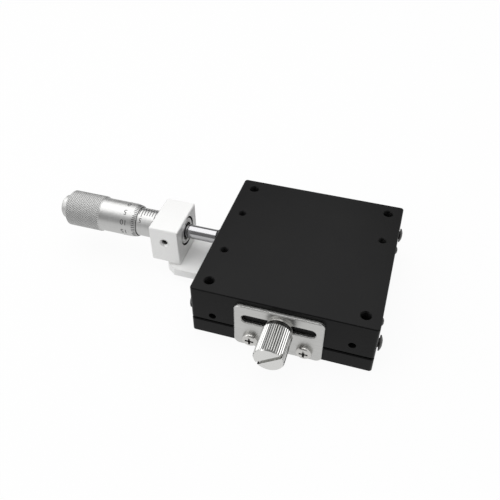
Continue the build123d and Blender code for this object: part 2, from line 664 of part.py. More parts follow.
def micrometer_stem():
    nut_end = SLEEVE_END_X + FREE_GAP
    bore = SPINDLE_RADIUS + RUNNING_FIT
    outline = [
        (BLOCK_FACE_X - STEM_RECESS_DEPTH, bore),
        (BLOCK_FACE_X - STEM_RECESS_DEPTH, STEM_RECESS_RADIUS),
        (BLOCK_FACE_X, STEM_RECESS_RADIUS),
        (BLOCK_FACE_X, STEM_RADIUS - STEM_EDGE),
        (BLOCK_FACE_X - STEM_EDGE, STEM_RADIUS),
        (BLOCK_BACK_X, STEM_RADIUS),
        (BLOCK_BACK_X, NUT_RADIUS),
        (nut_end, NUT_RADIUS),
        (nut_end, bore),
    ]
    return turned_x(outline)


def micrometer_sleeve():
    bore = NUT_RADIUS + FIXED_FIT
    outline = [
        (BLOCK_BACK_X - FIXED_FIT, bore),
        (BLOCK_BACK_X - FIXED_FIT, SLEEVE_RADIUS),
        (SLEEVE_END_X, SLEEVE_RADIUS),
        (SLEEVE_END_X, bore),
    ]
    return turned_x(outline)


def micrometer_block():
    x = (BLOCK_BACK_X, BLOCK_FACE_X)
    y = (-BLOCK_WIDTH / 2, BLOCK_WIDTH / 2)
    body = slab(x, y, (BASE_THICKNESS, MIC_Z + BLOCK_ABOVE_AXIS))
    body = chamfer(body.edges(), BLOCK_CHAMFER)
    step_x = (BLOCK_BACK_X - 1, FOOT_X)
    body -= slab(step_x, (y[0] - 1, y[1] + 1), (BASE_THICKNESS - 1, BASE_THICKNESS + BLOCK_STEP))
    bore = STEM_RADIUS + FIXED_FIT
    body -= turned_x(
        [
            (BLOCK_BACK_X - 1, 0),
            (BLOCK_BACK_X - 1, bore),
            (BLOCK_FACE_X - RING_GROOVE_DEPTH, bore),
            (BLOCK_FACE_X - RING_GROOVE_DEPTH, bore + RING_GROOVE_WIDTH),
            (BLOCK_FACE_X + 1, bore + RING_GROOVE_WIDTH),
            (BLOCK_FACE_X + 1, 0),
        ]
    )
    middle = (BLOCK_BACK_X + BLOCK_FACE_X) / 2
    clamp_hole = tapped_hole(CLAMP_SCREW_RADIUS, -y[0], CLAMP_MOUTH)
    body -= Pos(middle, y[0], MIC_Z) * Rot(90, 0, 0) * clamp_hole
    for side in (-1, 1):
        tip = BASE_THICKNESS - BRACKET_THICKNESS + BLOCK_SCREW_LENGTH + FREE_GAP / 2
        body -= rod_z(
            block_screw_x(),
            side * BRACKET_SCREW_SPACING / 2,
            BASE_THICKNESS,
            tip,
            BRACKET_SCREW_RADIUS + FIXED_FIT,
        )
    return body


def block_screw_x():
    return (FOOT_X + BLOCK_FACE_X) / 2


def block_clamp_screw():
    """The set screw that holds the stem in the block."""
    x = (BLOCK_BACK_X + BLOCK_FACE_X) / 2
    plain = Cylinder(CLAMP_SCREW_RADIUS - FIXED_FIT, CLAMP_SCREW_LENGTH)
    socket = hexagon_socket(CLAMP_SCREW_RADIUS * 0.6, CLAMP_SCREW_LENGTH / 3)
    screw = plain - Pos(0, 0, CLAMP_SCREW_LENGTH / 2) * socket
    y = -STEM_RADIUS - FIXED_FIT - CLAMP_SCREW_LENGTH / 2
    return Pos(x, y, MIC_Z) * Rot(90, 0, 0) * screw


def micrometer_bracket():
    z = (BASE_THICKNESS - BRACKET_THICKNESS, BASE_THICKNESS)
    half = BRACKET_WIDTH / 2
    outline = [
        (-HALF_LENGTH - FIXED_FIT, -half),
        (FOOT_X + BRACKET_CORNER_X, -half),
        (FOOT_X, -half + BRACKET_CORNER_Y),
        (FOOT_X, half - BRACKET_CORNER_Y),
        (FOOT_X + BRACKET_CORNER_X, half),
        (-HALF_LENGTH - FIXED_FIT, half),
    ]
    plate = Pos(0, 0, z[0]) * extrude(make_face(Polyline(*outline, close=True)), z[1] - z[0])
    tongue_x = (-HALF_LENGTH - 1, -HALF_LENGTH + TONGUE_LENGTH)
    body = plate + slab(tongue_x, (-TONGUE_Y, TONGUE_Y), z)
    cone = BRACKET_SCREW_HEAD_RADIUS - BRACKET_SCREW_RADIUS + FIXED_FIT
    hole = BRACKET_SCREW_RADIUS + RUNNING_FIT
    wide = hole + cone
    sink = turned([(0, 0), (wide, 0), (hole, -cone), (0, -cone)])
    for side in (-1, 1):
        y = side * BRACKET_SCREW_SPACING / 2
        body -= rod_z(bracket_screw_x(), y, z[0], z[1], hole)
        body -= Pos(bracket_screw_x(), y, z[1]) * sink
        body -= rod_z(block_screw_x(), y, z[0], z[1], hole)
        body -= Pos(block_screw_x(), y, z[0]) * Rot(180, 0, 0) * sink
    return body


def bracket_screws():
    length = BASE_THICKNESS - BRACKET_SCREW_TIP - FREE_GAP / 2
    screw = flat_screw(BRACKET_SCREW_RADIUS, BRACKET_SCREW_HEAD_RADIUS, length)
    y = BRACKET_SCREW_SPACING / 2
    return mirrored(Pos(bracket_screw_x(), y, BASE_THICKNESS) * screw)


def block_screws():
    screw = flat_screw(BRACKET_SCREW_RADIUS, BRACKET_SCREW_HEAD_RADIUS, BLOCK_SCREW_LENGTH)
    y = BRACKET_SCREW_SPACING / 2
    z = BASE_THICKNESS - BRACKET_THICKNESS
    return mirrored(Pos(block_screw_x(), y, z) * Rot(180, 0, 0) * screw)


def spring_post(x, seat_z, direction):
    """A headed pin with a groove for the spring's loop, from its seat towards the spring."""
    groove = (SPRING_Z - seat_z) * direction
    outline = [
        (0, -POST_SEAT),
        (POST_RADIUS, -POST_SEAT),
        (POST_RADIUS, groove + POST_GROOVE / 2),
        (POST_HEAD_RADIUS, groove + POST_GROOVE / 2),
        (POST_HEAD_RADIUS, groove + POST_GROOVE),
        (0, groove + POST_GROOVE),
    ]
    turn = Rot(0, 0, 0) if direction > 0 else Rot(180, 0, 0)
    return mirrored(Pos(x, SPRING_Y, seat_z) * turn * turned(outline))


def return_spring():
    """A close-wound extension spring with a loop round a post at each end."""
    loop_r = POST_RADIUS + FREE_GAP / 4 + SPRING_WIRE / 2
    start = BASE_POST_X + loop_r + SPRING_WIRE
    end = TABLE_POST_X - loop_r - SPRING_WIRE
    pitch = (end - start) / SPRING_COILS
    mean = SPRING_RADIUS - SPRING_WIRE / 2
    inner = mean - SPRING_WIRE / 2
    outer = [(start, inner)]
    for i in range(SPRING_COILS):
        outer.append((start + i * pitch, mean))
        outer.append((start + (i + 0.5) * pitch, SPRING_RADIUS))
    outer += [(end, mean), (end, inner)]
    section = make_face(Polyline(*[(x, 0, r) for x, r in outer], close=True))
    body = Pos(0, SPRING_Y, SPRING_Z) * revolve(section, Axis.X)
    for x in (BASE_POST_X, TABLE_POST_X):
        ring = Pos(x, SPRING_Y, SPRING_Z) * Torus(loop_r, SPRING_WIRE / 2)
        towards = 1 if x < 0 else -1
        neck = x + towards * loop_r
        link = slab(
            sorted((neck, neck + towards * SPRING_WIRE)),
            (SPRING_Y - SPRING_WIRE / 2, SPRING_Y + SPRING_WIRE / 2),
            (SPRING_Z - SPRING_RADIUS + SPRING_WIRE / 2, SPRING_Z + SPRING_RADIUS - SPRING_WIRE / 2),
        )
        body += ring + link
    return body


def save(name, shape):
    """Writes a solid, or a group of separate solids, as one node."""
    if isinstance(shape, list):
        shape = Compound(children=shape)
    export_step(shape, f"parts/{name}.step")


def main():
    os.makedirs("parts", exist_ok=True)
    outer_stop_y = GUIDE_Y + RAIL_GAP / 2 + STOP_SCREW_INSET
    inner_stop_y = GUIDE_Y - RAIL_GAP / 2 - STOP_SCREW_INSET
    nodes = {
        "base_plate": base_plate(),
        "table": table_top(),
        "lock_plate": lock_plate(),
        "lock_plate_screws": lock_plate_screws(),
        "lock_washer": lock_washer(),
        "lock_screw": lock_screw(),
        "preload_screws": preload_screws(),
        "table_end_screws": end_screws(),
        "anvil": anvil(),
        "micrometer_spindle": micrometer_spindle(),
        "micrometer_thimble": micrometer_thimble(),
        "thimble_cap": thimble_cap(),
        "micrometer_stem": micrometer_stem(),
        "micrometer_sleeve": micrometer_sleeve(),
        "micrometer_block": micrometer_block(),
        "block_clamp_screw": block_clamp_screw(),
        "micrometer_bracket": micrometer_bracket(),
        "bracket_screws": bracket_screws(),
        "block_screws": block_screws(),
        "base_spring_posts": spring_post(BASE_POST_X, BASE_THICKNESS, 1),
        "table_spring_posts": spring_post(TABLE_POST_X, TABLE_ROOF_Z, -1),
    }
    paired = {
        "outer_rail": [outer_rail()],
        "inner_rail": [inner_rail()],
        "outer_rail_screws": outer_rail_screws(),
        "inner_rail_screws": inner_rail_screws(),
        "outer_rail_stops": stop_screws(RAIL_HALF_LENGTH, outer_stop_y),
        "inner_rail_stops": stop_screws(RAIL_HALF_LENGTH - STOP_RECESS, inner_stop_y),
        "roller_cage": [cage()],
        "rollers": rollers(),
        "return_spring": [return_spring()],
    }
    for name, shapes in paired.items():
        nodes[name + "_back"] = shapes
        nodes[name + "_front"] = [mirror(s, Plane.XZ) for s in shapes]
    for name, shape in nodes.items():
        save(name, shape)


main()
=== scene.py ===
"""Dresses a micrometer-driven crossed-roller stage: its finishes, knurl, threads, scales and studio.

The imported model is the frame. Its nodes keep their shape and take a finish; the thimble gets its
diamond knurl, the tapped holes their threads, and the micrometer its engraved scales.
"""

import json
import math

import bmesh
import bpy
from bpy.props import FloatProperty, FloatVectorProperty, IntProperty, PointerProperty
from mathutils import Matrix, Vector


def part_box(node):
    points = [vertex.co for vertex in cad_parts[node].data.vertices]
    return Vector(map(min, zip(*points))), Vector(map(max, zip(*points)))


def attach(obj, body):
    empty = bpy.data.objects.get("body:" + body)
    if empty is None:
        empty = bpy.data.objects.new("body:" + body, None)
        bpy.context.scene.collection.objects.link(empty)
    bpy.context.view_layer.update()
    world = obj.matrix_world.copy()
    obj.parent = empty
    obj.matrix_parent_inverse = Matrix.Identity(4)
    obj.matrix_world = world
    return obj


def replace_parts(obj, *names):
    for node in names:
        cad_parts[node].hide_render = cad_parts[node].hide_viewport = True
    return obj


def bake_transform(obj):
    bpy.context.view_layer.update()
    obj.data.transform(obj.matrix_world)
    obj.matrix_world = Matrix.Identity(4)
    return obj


bl_info = {
    "name": "Linear Stage Finish",
    "version": (1, 0, 0),
    "blender": (4, 5, 0),
    "location": "3D View > Sidebar > Linear Stage",
    "description": "Finishes, knurl, threads and scales of a micrometer-driven linear stage",
    "category": "Object",
}

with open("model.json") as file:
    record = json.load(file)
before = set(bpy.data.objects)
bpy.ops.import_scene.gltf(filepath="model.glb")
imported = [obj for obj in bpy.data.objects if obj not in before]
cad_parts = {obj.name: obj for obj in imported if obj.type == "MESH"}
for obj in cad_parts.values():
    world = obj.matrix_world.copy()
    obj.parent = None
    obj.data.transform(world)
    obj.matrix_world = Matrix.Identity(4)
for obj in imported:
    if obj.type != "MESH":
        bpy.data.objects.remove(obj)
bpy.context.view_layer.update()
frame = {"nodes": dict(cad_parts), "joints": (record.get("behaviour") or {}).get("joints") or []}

MM = 0.001
SIDES = ("back", "front")
GROOVE_SHADE = "groove"  # a mesh's own number for the painted shade of the knurl: 1 at the bottom of a knurl groove, 0 on a tip
OVERHEAD = (-0.1, 0.13, 0.98)  # direction of the room's lit ceiling

# Places read from the frame
THIMBLE_LOW, THIMBLE_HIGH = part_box("micrometer_thimble")
SLEEVE_LOW, SLEEVE_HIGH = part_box("micrometer_sleeve")
SPINDLE_LOW, SPINDLE_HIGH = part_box("micrometer_spindle")
BLOCK_LOW, BLOCK_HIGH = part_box("micrometer_block")
TABLE_LOW, TABLE_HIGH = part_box("table")
BASE_LOW, BASE_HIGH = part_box("base_plate")
LOCK_LOW, LOCK_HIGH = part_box("lock_screw")
AXIS_Z = (THIMBLE_LOW.z + THIMBLE_HIGH.z) / 2
LOCK_Z = (LOCK_LOW.z + LOCK_HIGH.z) / 2
LOCK_RADIUS = (LOCK_HIGH.z - LOCK_LOW.z) / 2
GRIP_RADIUS = (THIMBLE_HIGH.z - THIMBLE_LOW.z) / 2
SLEEVE_RADIUS = (SLEEVE_HIGH.z - SLEEVE_LOW.z) / 2
SPINDLE_RADIUS = (SPINDLE_HIGH.z - SPINDLE_LOW.z) / 2
MOUTH_X = THIMBLE_HIGH.x
TRAVEL = frame["joints"][0]["range_m"][1]
BORE_MOUTH_RADIUS = 5.37 * MM  # of the groove round the micrometer's stem in the block, where shade is painted
FLUTE_DEPTH = 0.28 * MM  # how far in from the crests the lock screw's flutes get painted shade
SLOT_RIM = 0.6 * MM  # from the crests to where the painted shade stops in the lock screw's slot
SLOT_FLOOR = 1.5 * MM  # just behind the slot's floor, from the lock screw's end face
MASK_EDGE = 0.1 * MM  # soft edge of the lock screw's masks
CAP_HEIGHT = 0.72  # of a digit, as a share of the type's size
FLAT_TOP = 1.7  # over 1, so that the knurl's diamonds have flat tops
MOUTH_EDGE = 0.1 * MM  # chamfer at the thimble's open end
STRIP = 0.25 * MM  # width of the strips in which a mark bends round a surface
THREAD_STEPS = 24  # of one turn of a thread
THREAD_FLANK = 0.4  # half the width of a thread's root, as a share of its pitch
LOOP_STEPS = 24  # of the wire's loop round a post
COIL_STEPS = 16  # of one turn of a spring
COIL_TAPER = 0.75  # turns over which a spring's coil widens from its loop
LOOP_GAP = math.radians(20)  # left open between a spring's loop and its coil
CEILING_EDGE = (0.68, 0.87)  # cosines between which the lit ceiling fades in
SIDE_EDGE = (0.35, 0.65)  # the same for the lit sides, from the middle plane
FLOOR_REACH = 3.0
FLOOR_FADE = 0.12  # depth behind the middle over which metal sees the floor go dark


def srgb(code):
    """Linear RGBA of an sRGB hex colour."""
    channels = [int(code[i : i + 2], 16) / 255 for i in (1, 3, 5)]
    linear = [c / 12.92 if c <= 0.04045 else ((c + 0.055) / 1.055) ** 2.4 for c in channels]
    return (*linear, 1.0)


def colour(name, description, code):
    return FloatVectorProperty(
        name=name, description=description, subtype="COLOR", size=4, min=0.0, max=1.0, default=srgb(code)
    )


def length(name, description, millimetres):
    return FloatProperty(
        name=name, description=description, unit="LENGTH", min=0.0, precision=5, default=millimetres * MM
    )


class StageColours(bpy.types.PropertyGroup):
    """Colours of the finishes."""

    black_dye: colour("Black dye", "Dyed oxide of the base and the table", "#0B0B0C")
    black_dye_light: colour("Black dye, worn", "The dye where the grain is thin", "#121212")
    stainless: colour("Stainless steel", "Brushed lock plate", "#CACAC8")
    nickel: colour("Bright nickel", "Lock screw", "#D6D6D4")
    screw_nickel: colour("Nickel plate", "Plate screws and washer", "#CCCBC8")
    black_oxide: colour("Black oxide", "Blackened screws", "#1E1D1C")
    satin_chrome: colour("Satin chrome", "Thimble and sleeve", "#C6C6C5")
    clear_oxide: colour("Clear anodising", "Block", "#ECECEB")
    # painted light: the bracket is painted paler than the block's clear anodising, so that it looks lit in
    # its shade
    plate_oxide: colour("Clear anodising, matt", "Bracket", "#FDFDFC")
    polished: colour("Polished steel", "Spindle and posts", "#AEAEB0")
    ground: colour("Ground steel", "Rails and rollers", "#9A9A9C")
    hardened: colour("Hardened steel", "Anvil", "#39393B")
    brass: colour("Rolled brass", "Roller cages", "#B9924C")
    spring: colour("Spring wire", "Return springs", "#8A8A8B")
    marks: colour("Mark filling", "Paint in the engraved marks", "#202022")


class KnurlSizes(bpy.types.PropertyGroup):
    """The thimble's outline and its diamond knurl."""

    plain_radius: length("Plain radius", "Smooth part of the thimble", 6.05)
    mouth_radius: length("Mouth radius", "Thimble at its open end", 5.6)
    cone: length("Cone", "Length of the cone at the mouth", 2.2)
    grip: length("Grip", "Length of the knurled grip", 13.6)
    edge: length("Edge", "Chamfers at the grip's ends", 0.5)
    bore: length("Bore clearance", "Between the sleeve and the thimble's bore", 0.3)
    wall: length("End wall", "Wall behind the bore, where the spindle is fixed", 5.6)
    depth: length("Knurl depth", "From the diamonds' tips to the grooves", 0.12)
    pitch: length("Knurl pitch", "From one diamond to the next along the grip", 0.93)
    diamonds: IntProperty(name="Diamonds", description="Diamonds round the grip", min=12, default=50)


class ScaleSizes(bpy.types.PropertyGroup):
    """Engraved scales of the micrometer."""

    line: length("Line width", "Width of every engraved line", 0.26)
    proud: length("Filling height", "How far the filling stands over the surface", 0.012)
    sunk: length("Filling depth", "How deep the filling goes", 0.05)
    sleeve_digit: length("Sleeve digits", "Height of the sleeve's digits", 1.7)
    thimble_digit: length("Thimble digits", "Height of the thimble's digits", 2.0)
    millimetre_tick: length("Millimetre tick", "Length of a millimetre line", 2.7)
    five_tick: length("Five-millimetre tick", "Length of every fifth line", 3.5)
    half_tick: length("Half tick", "Length of a half-millimetre line", 1.5)
    sleeve_digit_place: length("Sleeve digits' place", "From the datum line to the digits' middle", 4.75)
    thimble_tick: length("Thimble line", "Length of a thimble line", 1.4)
    thimble_five_tick: length("Thimble long line", "Length of every fifth thimble line", 2.5)
    thimble_digit_place: length("Thimble digits' place", "From the mouth to the digits' middle", 4.3)
    datum: FloatProperty(
        name="Datum",
        description="The sleeve's long line, turned from the top towards the lock screw's side",
        subtype="ANGLE",
        default=math.radians(-10),
    )
    divisions: IntProperty(name="Divisions", description="Divisions of the thimble", min=10, default=50)


class ThreadSizes(bpy.types.PropertyGroup):
    """Threads that show in the tapped holes."""

    m4_radius: length("M4 bore", "Radius of the bores for M4", 1.65)
    m4_pitch: length("M4 pitch", "Pitch of the M4 threads", 0.7)
    m3_radius: length("M3 bore", "Radius of the bores for M3", 1.25)
    m3_pitch: length("M3 pitch", "Pitch of the M3 threads", 0.5)
    crest: length("Crest", "How far a thread's crest stands into the bore", 0.16)
    m4_depth: length("M4 depth", "Threaded depth of the table's M4 holes", 6.0)
    m3_depth: length("M3 depth", "Threaded depth of the table's M3 holes", 4.5)
    base_depth: length("Base depth", "Threaded depth of the base's M4 holes", 5.5)
    corner_inset: length("Corner holes", "From the sides to the corner holes", 5.0)
    small_hole_y: length("Small holes", "From the middle to the small holes", 10.0)


class SpringSizes(bpy.types.PropertyGroup):
    """The return springs between the base's posts and the table's."""

    wire: length("Wire", "Diameter of the spring wire", 0.6)
    turns: IntProperty(name="Turns", description="Turns of each spring", min=2, default=18)


class StudioSizes(bpy.types.PropertyGroup):
    """Camera, lamps and floor."""

    camera_place: FloatVectorProperty(
        name="Camera",
        description="Where the camera stands",
        subtype="TRANSLATION",
        unit="LENGTH",
        default=(0.02643, -0.14861, 0.1577),
    )
    camera_turn: FloatVectorProperty(
        name="Camera turn",
        description="The camera's rotation",
        subtype="EULER",
        unit="ROTATION",
        default=(math.radians(46.94), 0.0, math.radians(17.04)),
    )
    lens: FloatProperty(name="Lens", description="Focal length in millimetres", default=43.36)
    key_power: FloatProperty(name="Key light", description="Power of the large overhead light", default=2.65)
    side_power: FloatProperty(name="Side light", description="Power of the light at the left", default=0.6)
    ambient: FloatProperty(name="Ambient", description="Strength of the room's light", default=0.45)
    dark_side: FloatProperty(
        name="Dark side", description="Brightness of the room's dark parts, as metal shows them", default=0.27
    )
    floor_glow: FloatProperty(
        name="Floor glow", description="Share of the floor that stays white in a shadow", default=0.93
    )


def add_node(tree, kind, inputs=None, **settings):
    """Adds a node with its settings; an input is a value or another node's output."""
    node = tree.nodes.new(kind)
    for name, value in settings.items():
        setattr(node, name, value)
    for key, value in (inputs or {}).items():
        if isinstance(value, bpy.types.NodeSocket):
            tree.links.new(value, node.inputs[key])
        else:
            node.inputs[key].default_value = value
    return node


def new_finish(name, **constants):
    """A material and its shader, with the values that are the same all over the surface."""
    material = bpy.data.materials.new(name)
    material.use_nodes = True
    shader = material.node_tree.nodes["Principled BSDF"]
    for key, value in constants.items():
        shader.inputs[key.replace("_", " ").title().replace("Ior", "IOR")].default_value = value
    return material, material.node_tree, shader


def grain(tree, size, drawn=(1, 1, 1), detail=2.0):
    """Grains of a size in millimetres, drawn out along the axes by the given factors."""
    place = add_node(tree, "ShaderNodeTexCoord").outputs["Object"]
    scale = [1 / (size * MM * factor) for factor in drawn]
    mapped = add_node(tree, "ShaderNodeMapping", {"Vector": place, "Scale": scale}).outputs["Vector"]
    noise = add_node(tree, "ShaderNodeTexNoise", {"Vector": mapped, "Scale": 1.0, "Detail": detail})
    return noise.outputs["Fac"]


def rings(tree, spacing, centre, direction, wobble=1.5):
    """Turning rings round an axis through a place, a number of millimetres apart."""
    place = add_node(tree, "ShaderNodeTexCoord").outputs["Object"]
    moved = add_node(tree, "ShaderNodeVectorMath", {0: place, 1: centre}, operation="SUBTRACT")
    wave = add_node(
        tree,
        "ShaderNodeTexWave",
        {
            "Vector": moved.outputs["Vector"],
            "Scale": 2 * math.pi / (20 * spacing * MM),
            "Distortion": wobble,
            "Detail": 2.0,
            "Detail Scale": 0.3,
        },
        wave_type="RINGS",
        rings_direction=direction,
    )
    return wave.outputs["Fac"]


def vary(tree, shader, socket, pattern, low, high):
    """Lets a number of the shader follow a pattern between two values."""
    between = add_node(tree, "ShaderNodeMapRange", {"Value": pattern, "To Min": low, "To Max": high})
    tree.links.new(between.outputs["Result"], shader.inputs[socket])


def tint(tree, shader, pattern, first, second):
    """Lets the base colour follow a pattern between two colours."""
    mixed = add_node(tree, "ShaderNodeMix", {0: pattern, 6: first, 7: second}, data_type="RGBA")
    tree.links.new(mixed.outputs[2], shader.inputs["Base Color"])


def soil(tree, shader, where, tone):
    """Paints shade: lays a darker tone over the base colour where a mask is 1, as the shade that falls in a
    groove.
    """
    below = shader.inputs["Base Color"].links[0].from_socket
    mixed = add_node(tree, "ShaderNodeMix", {0: where, 6: below, 7: tone}, data_type="RGBA")
    tree.links.new(mixed.outputs[2], shader.inputs["Base Color"])


def relief(tree, shader, pattern, depth, edge=0.0):
    """Raises the surface with a pattern, a depth in millimetres, and rounds its edges."""
    inputs = {"Height": pattern, "Distance": depth * MM, "Strength": 1.0}
    if edge:
        inputs["Normal"] = add_node(tree, "ShaderNodeBevel", {"Radius": edge * MM}, samples=4).outputs[0]
    bump = add_node(tree, "ShaderNodeBump", inputs)
    tree.links.new(bump.outputs["Normal"], shader.inputs["Normal"])


def darker(tone, factor):
    return (*[channel * factor for channel in tone[:3]], 1.0)


def blasted_black_anodised(colours):
    """Aluminium, bead blasted, anodised and dyed black: even charcoal satin with no clear reflection."""
    material, tree, shader = new_finish("Blasted Black Anodised Aluminium", ior=1.6, roughness=0.3)
    shader.inputs["Specular IOR Level"].default_value = 0.08
    # bead marks are 0.05 mm; drawn at 0.3 mm so that they show
    beads = grain(tree, 0.3, detail=3.0)
    clouds = grain(tree, 14.0)
    tint(tree, shader, clouds, colours.black_dye, colours.black_dye_light)
    vary(tree, shader, "Roughness", beads, 0.24, 0.36)
    relief(tree, shader, beads, 0.006, edge=0.12)
    return material


def brushed_stainless(colours):
    """Cold-rolled stainless sheet, belt brushed along its length: fine bright and dull streaks."""
    material, tree, shader = new_finish("Brushed Stainless Steel", metallic=1.0, roughness=0.36)
    # belt lines are 0.05 mm apart; drawn at 0.22 mm so that they show
    streaks = grain(tree, 0.22, drawn=(40, 1, 1), detail=3.0)
    tint(tree, shader, streaks, darker(colours.stainless, 0.72), colours.stainless)
    vary(tree, shader, "Roughness", streaks, 0.3, 0.48)
    relief(tree, shader, streaks, 0.004, edge=0.12)
    return material


def within(tree, across, height, radius, edge):
    """1 nearer than a radius to an axis that runs level at a height, 0 farther off by the edge's width."""
    place = add_node(tree, "ShaderNodeTexCoord").outputs["Object"]
    inputs = {0: place, 1: across, 2: (0, 0, -height)}
    flat = add_node(tree, "ShaderNodeVectorMath", inputs, operation="MULTIPLY_ADD").outputs["Vector"]
    away = add_node(tree, "ShaderNodeVectorMath", {0: flat}, operation="LENGTH").outputs["Value"]
    inputs = {"Value": away, "From Min": radius, "From Max": radius + edge, "To Min": 1.0, "To Max": 0.0}
    return add_node(tree, "ShaderNodeMapRange", inputs).outputs["Result"]


def recesses(tree, reach):
    """Mask for painted shade: 1 deep in an object's own hollows, 0 on its open faces; they look up to a reach
    away.
    """
    inputs = {"Distance": reach * MM}
    open_sky = add_node(tree, "ShaderNodeAmbientOcclusion", inputs, samples=8, only_local=True).outputs["AO"]
    inputs = {"Value": open_sky, "From Min": 0.45, "From Max": 0.8, "To Min": 1.0, "To Max": 0.0}
    return add_node(tree, "ShaderNodeMapRange", inputs).outputs["Result"]


def lock_screw_flutes(tree):
    """Mask of the painted shade: 1 on the lock screw's neck and in its flutes, 0 on their crests, the end
    face and its slot.
    """
    deep = within(tree, (1, 0, 1), LOCK_Z, LOCK_RADIUS - FLUTE_DEPTH, MASK_EDGE)
    core = within(tree, (1, 0, 1), LOCK_Z, LOCK_RADIUS - SLOT_RIM, MASK_EDGE)
    texture = add_node(tree, "ShaderNodeTexCoord")
    along = add_node(tree, "ShaderNodeSeparateXYZ", {0: texture.outputs["Object"]}).outputs["Y"]
    inputs = {0: along, 1: LOCK_LOW.y + SLOT_FLOOR}
    front = add_node(tree, "ShaderNodeMath", inputs, operation="LESS_THAN").outputs[0]
    slot = add_node(tree, "ShaderNodeMath", {0: core, 1: front}, operation="MULTIPLY").outputs[0]
    facing = add_node(tree, "ShaderNodeSeparateXYZ", {0: texture.outputs["Normal"]}).outputs["Y"]
    turned = add_node(tree, "ShaderNodeMath", {0: facing, 1: -0.5}, operation="GREATER_THAN").outputs[0]
    flutes = add_node(tree, "ShaderNodeMath", {0: deep, 1: turned}, operation="MULTIPLY").outputs[0]
    inputs = {0: flutes, 1: slot}
    return add_node(tree, "ShaderNodeMath", inputs, operation="SUBTRACT", use_clamp=True).outputs[0]


def bright_nickel(colours):
    """Turned and straight-knurled brass in bright nickel: glints, faint tool rings, and shade painted dark on
    the neck and in the flutes.
    """
    material, tree, shader = new_finish("Turned Bright Nickel Plate", metallic=1.0, roughness=0.17)
    feed = rings(tree, 0.3, (0.0, 0.0, LOCK_Z), "Y")
    tint(tree, shader, feed, darker(colours.nickel, 0.86), colours.nickel)
    # painted shade: the neck and the flutes are darkened where shade falls
    soil(tree, shader, lock_screw_flutes(tree), darker(colours.nickel, 0.1))
    vary(tree, shader, "Roughness", feed, 0.12, 0.22)
    relief(tree, shader, feed, 0.003, edge=0.08)
    return material


def nickel_plated_steel(colours):
    """Cold-headed steel in dull nickel: soft highlights, slight plating clouds, and shade painted dark in its
    recesses.
    """
    material, tree, shader = new_finish("Dull Nickel Plated Steel", metallic=1.0, roughness=0.28)
    clouds = grain(tree, 0.8)
    tint(tree, shader, clouds, darker(colours.screw_nickel, 0.8), colours.screw_nickel)
    # painted shade: darkened where ambient occlusion finds the object's own hollows
    soil(tree, shader, recesses(tree, 0.7), darker(colours.screw_nickel, 0.08))
    vary(tree, shader, "Roughness", clouds, 0.22, 0.36)
    relief(tree, shader, clouds, 0.01, edge=0.1)
    return material


def black_oxide_steel(colours):
    """Alloy steel screws, blackened in hot oxide and oiled: near black with a dull oily gloss."""
    material, tree, shader = new_finish("Oiled Black Oxide Steel", metallic=0.4, roughness=0.38)
    clouds = grain(tree, 0.6)
    tint(tree, shader, clouds, colours.black_oxide, darker(colours.black_oxide, 2.2))
    vary(tree, shader, "Roughness", clouds, 0.3, 0.5)
    relief(tree, shader, clouds, 0.006, edge=0.08)
    return material


def satin_chrome(colours):
    """Ground steel in satin chrome: pearly, glare-free, with circular grinding, and shade painted dark in the
    knurl's grooves.
    """
    material, tree, shader = new_finish("Satin Chrome Plated Steel", metallic=1.0, roughness=0.42)
    # grinding lines are finer than 0.1 mm; drawn at 0.35 mm so that they show
    lines = grain(tree, 0.35, drawn=(1, 14, 14), detail=3.0)
    tint(tree, shader, lines, darker(colours.satin_chrome, 0.84), colours.satin_chrome)
    # painted shade: the knurl's grooves are darkened by the mesh's groove number
    groove = add_node(tree, "ShaderNodeAttribute", attribute_name=GROOVE_SHADE).outputs["Fac"]
    soil(tree, shader, groove, darker(colours.satin_chrome, 0.36))
    vary(tree, shader, "Roughness", lines, 0.36, 0.47)
    relief(tree, shader, lines, 0.002)
    return material


def clear_anodised(colours):
    """Milled aluminium, etched and clear anodised: pale silver, with shade painted dark in the groove at its
    bore's mouth.
    """
    material, tree, shader = new_finish("Etched Clear Anodised Aluminium", metallic=0.55, roughness=0.46)
    # etching pits are 0.05 mm; drawn at 0.25 mm so that they show
    pits = grain(tree, 0.25, detail=3.0)
    tint(tree, shader, pits, darker(colours.clear_oxide, 0.9), colours.clear_oxide)
    # painted shade: the groove round the micrometer's stem is darkened as a shadowed gap
    bore = within(tree, (0, 1, 1), AXIS_Z, BORE_MOUTH_RADIUS, 0.02 * MM)
    soil(tree, shader, bore, darker(colours.clear_oxide, 0.06))
    vary(tree, shader, "Roughness", pits, 0.4, 0.54)
    relief(tree, shader, pits, 0.004, edge=0.12)
    return material


def washed_anodised(colours):
    """Sheared aluminium plate, clear anodised as the block: a copy of the block's finish painted matt and
    almost white, so that it looks lit in the shade of the block and the table.
    """
    material, tree, shader = new_finish("Clear Anodised Plate Painted Light", metallic=0.0, roughness=0.7)
    # etching pits are 0.05 mm; drawn at 0.4 mm so that they show
    pits = grain(tree, 0.4, detail=3.0)
    tint(tree, shader, pits, darker(colours.plate_oxide, 0.94), colours.plate_oxide)
    vary(tree, shader, "Roughness", pits, 0.64, 0.76)
    relief(tree, shader, pits, 0.003, edge=0.12)
    return material


def polished_steel(colours):
    """Hardened steel, ground and lapped round: long mirror streaks along the rod."""
    material, tree, shader = new_finish("Lapped Steel", metallic=1.0, roughness=0.12)
    streaks = grain(tree, 0.3, drawn=(1, 10, 10))
    tint(tree, shader, streaks, darker(colours.polished, 0.85), colours.polished)
    vary(tree, shader, "Roughness", streaks, 0.09, 0.2)
    relief(tree, shader, streaks, 0.002)
    return material


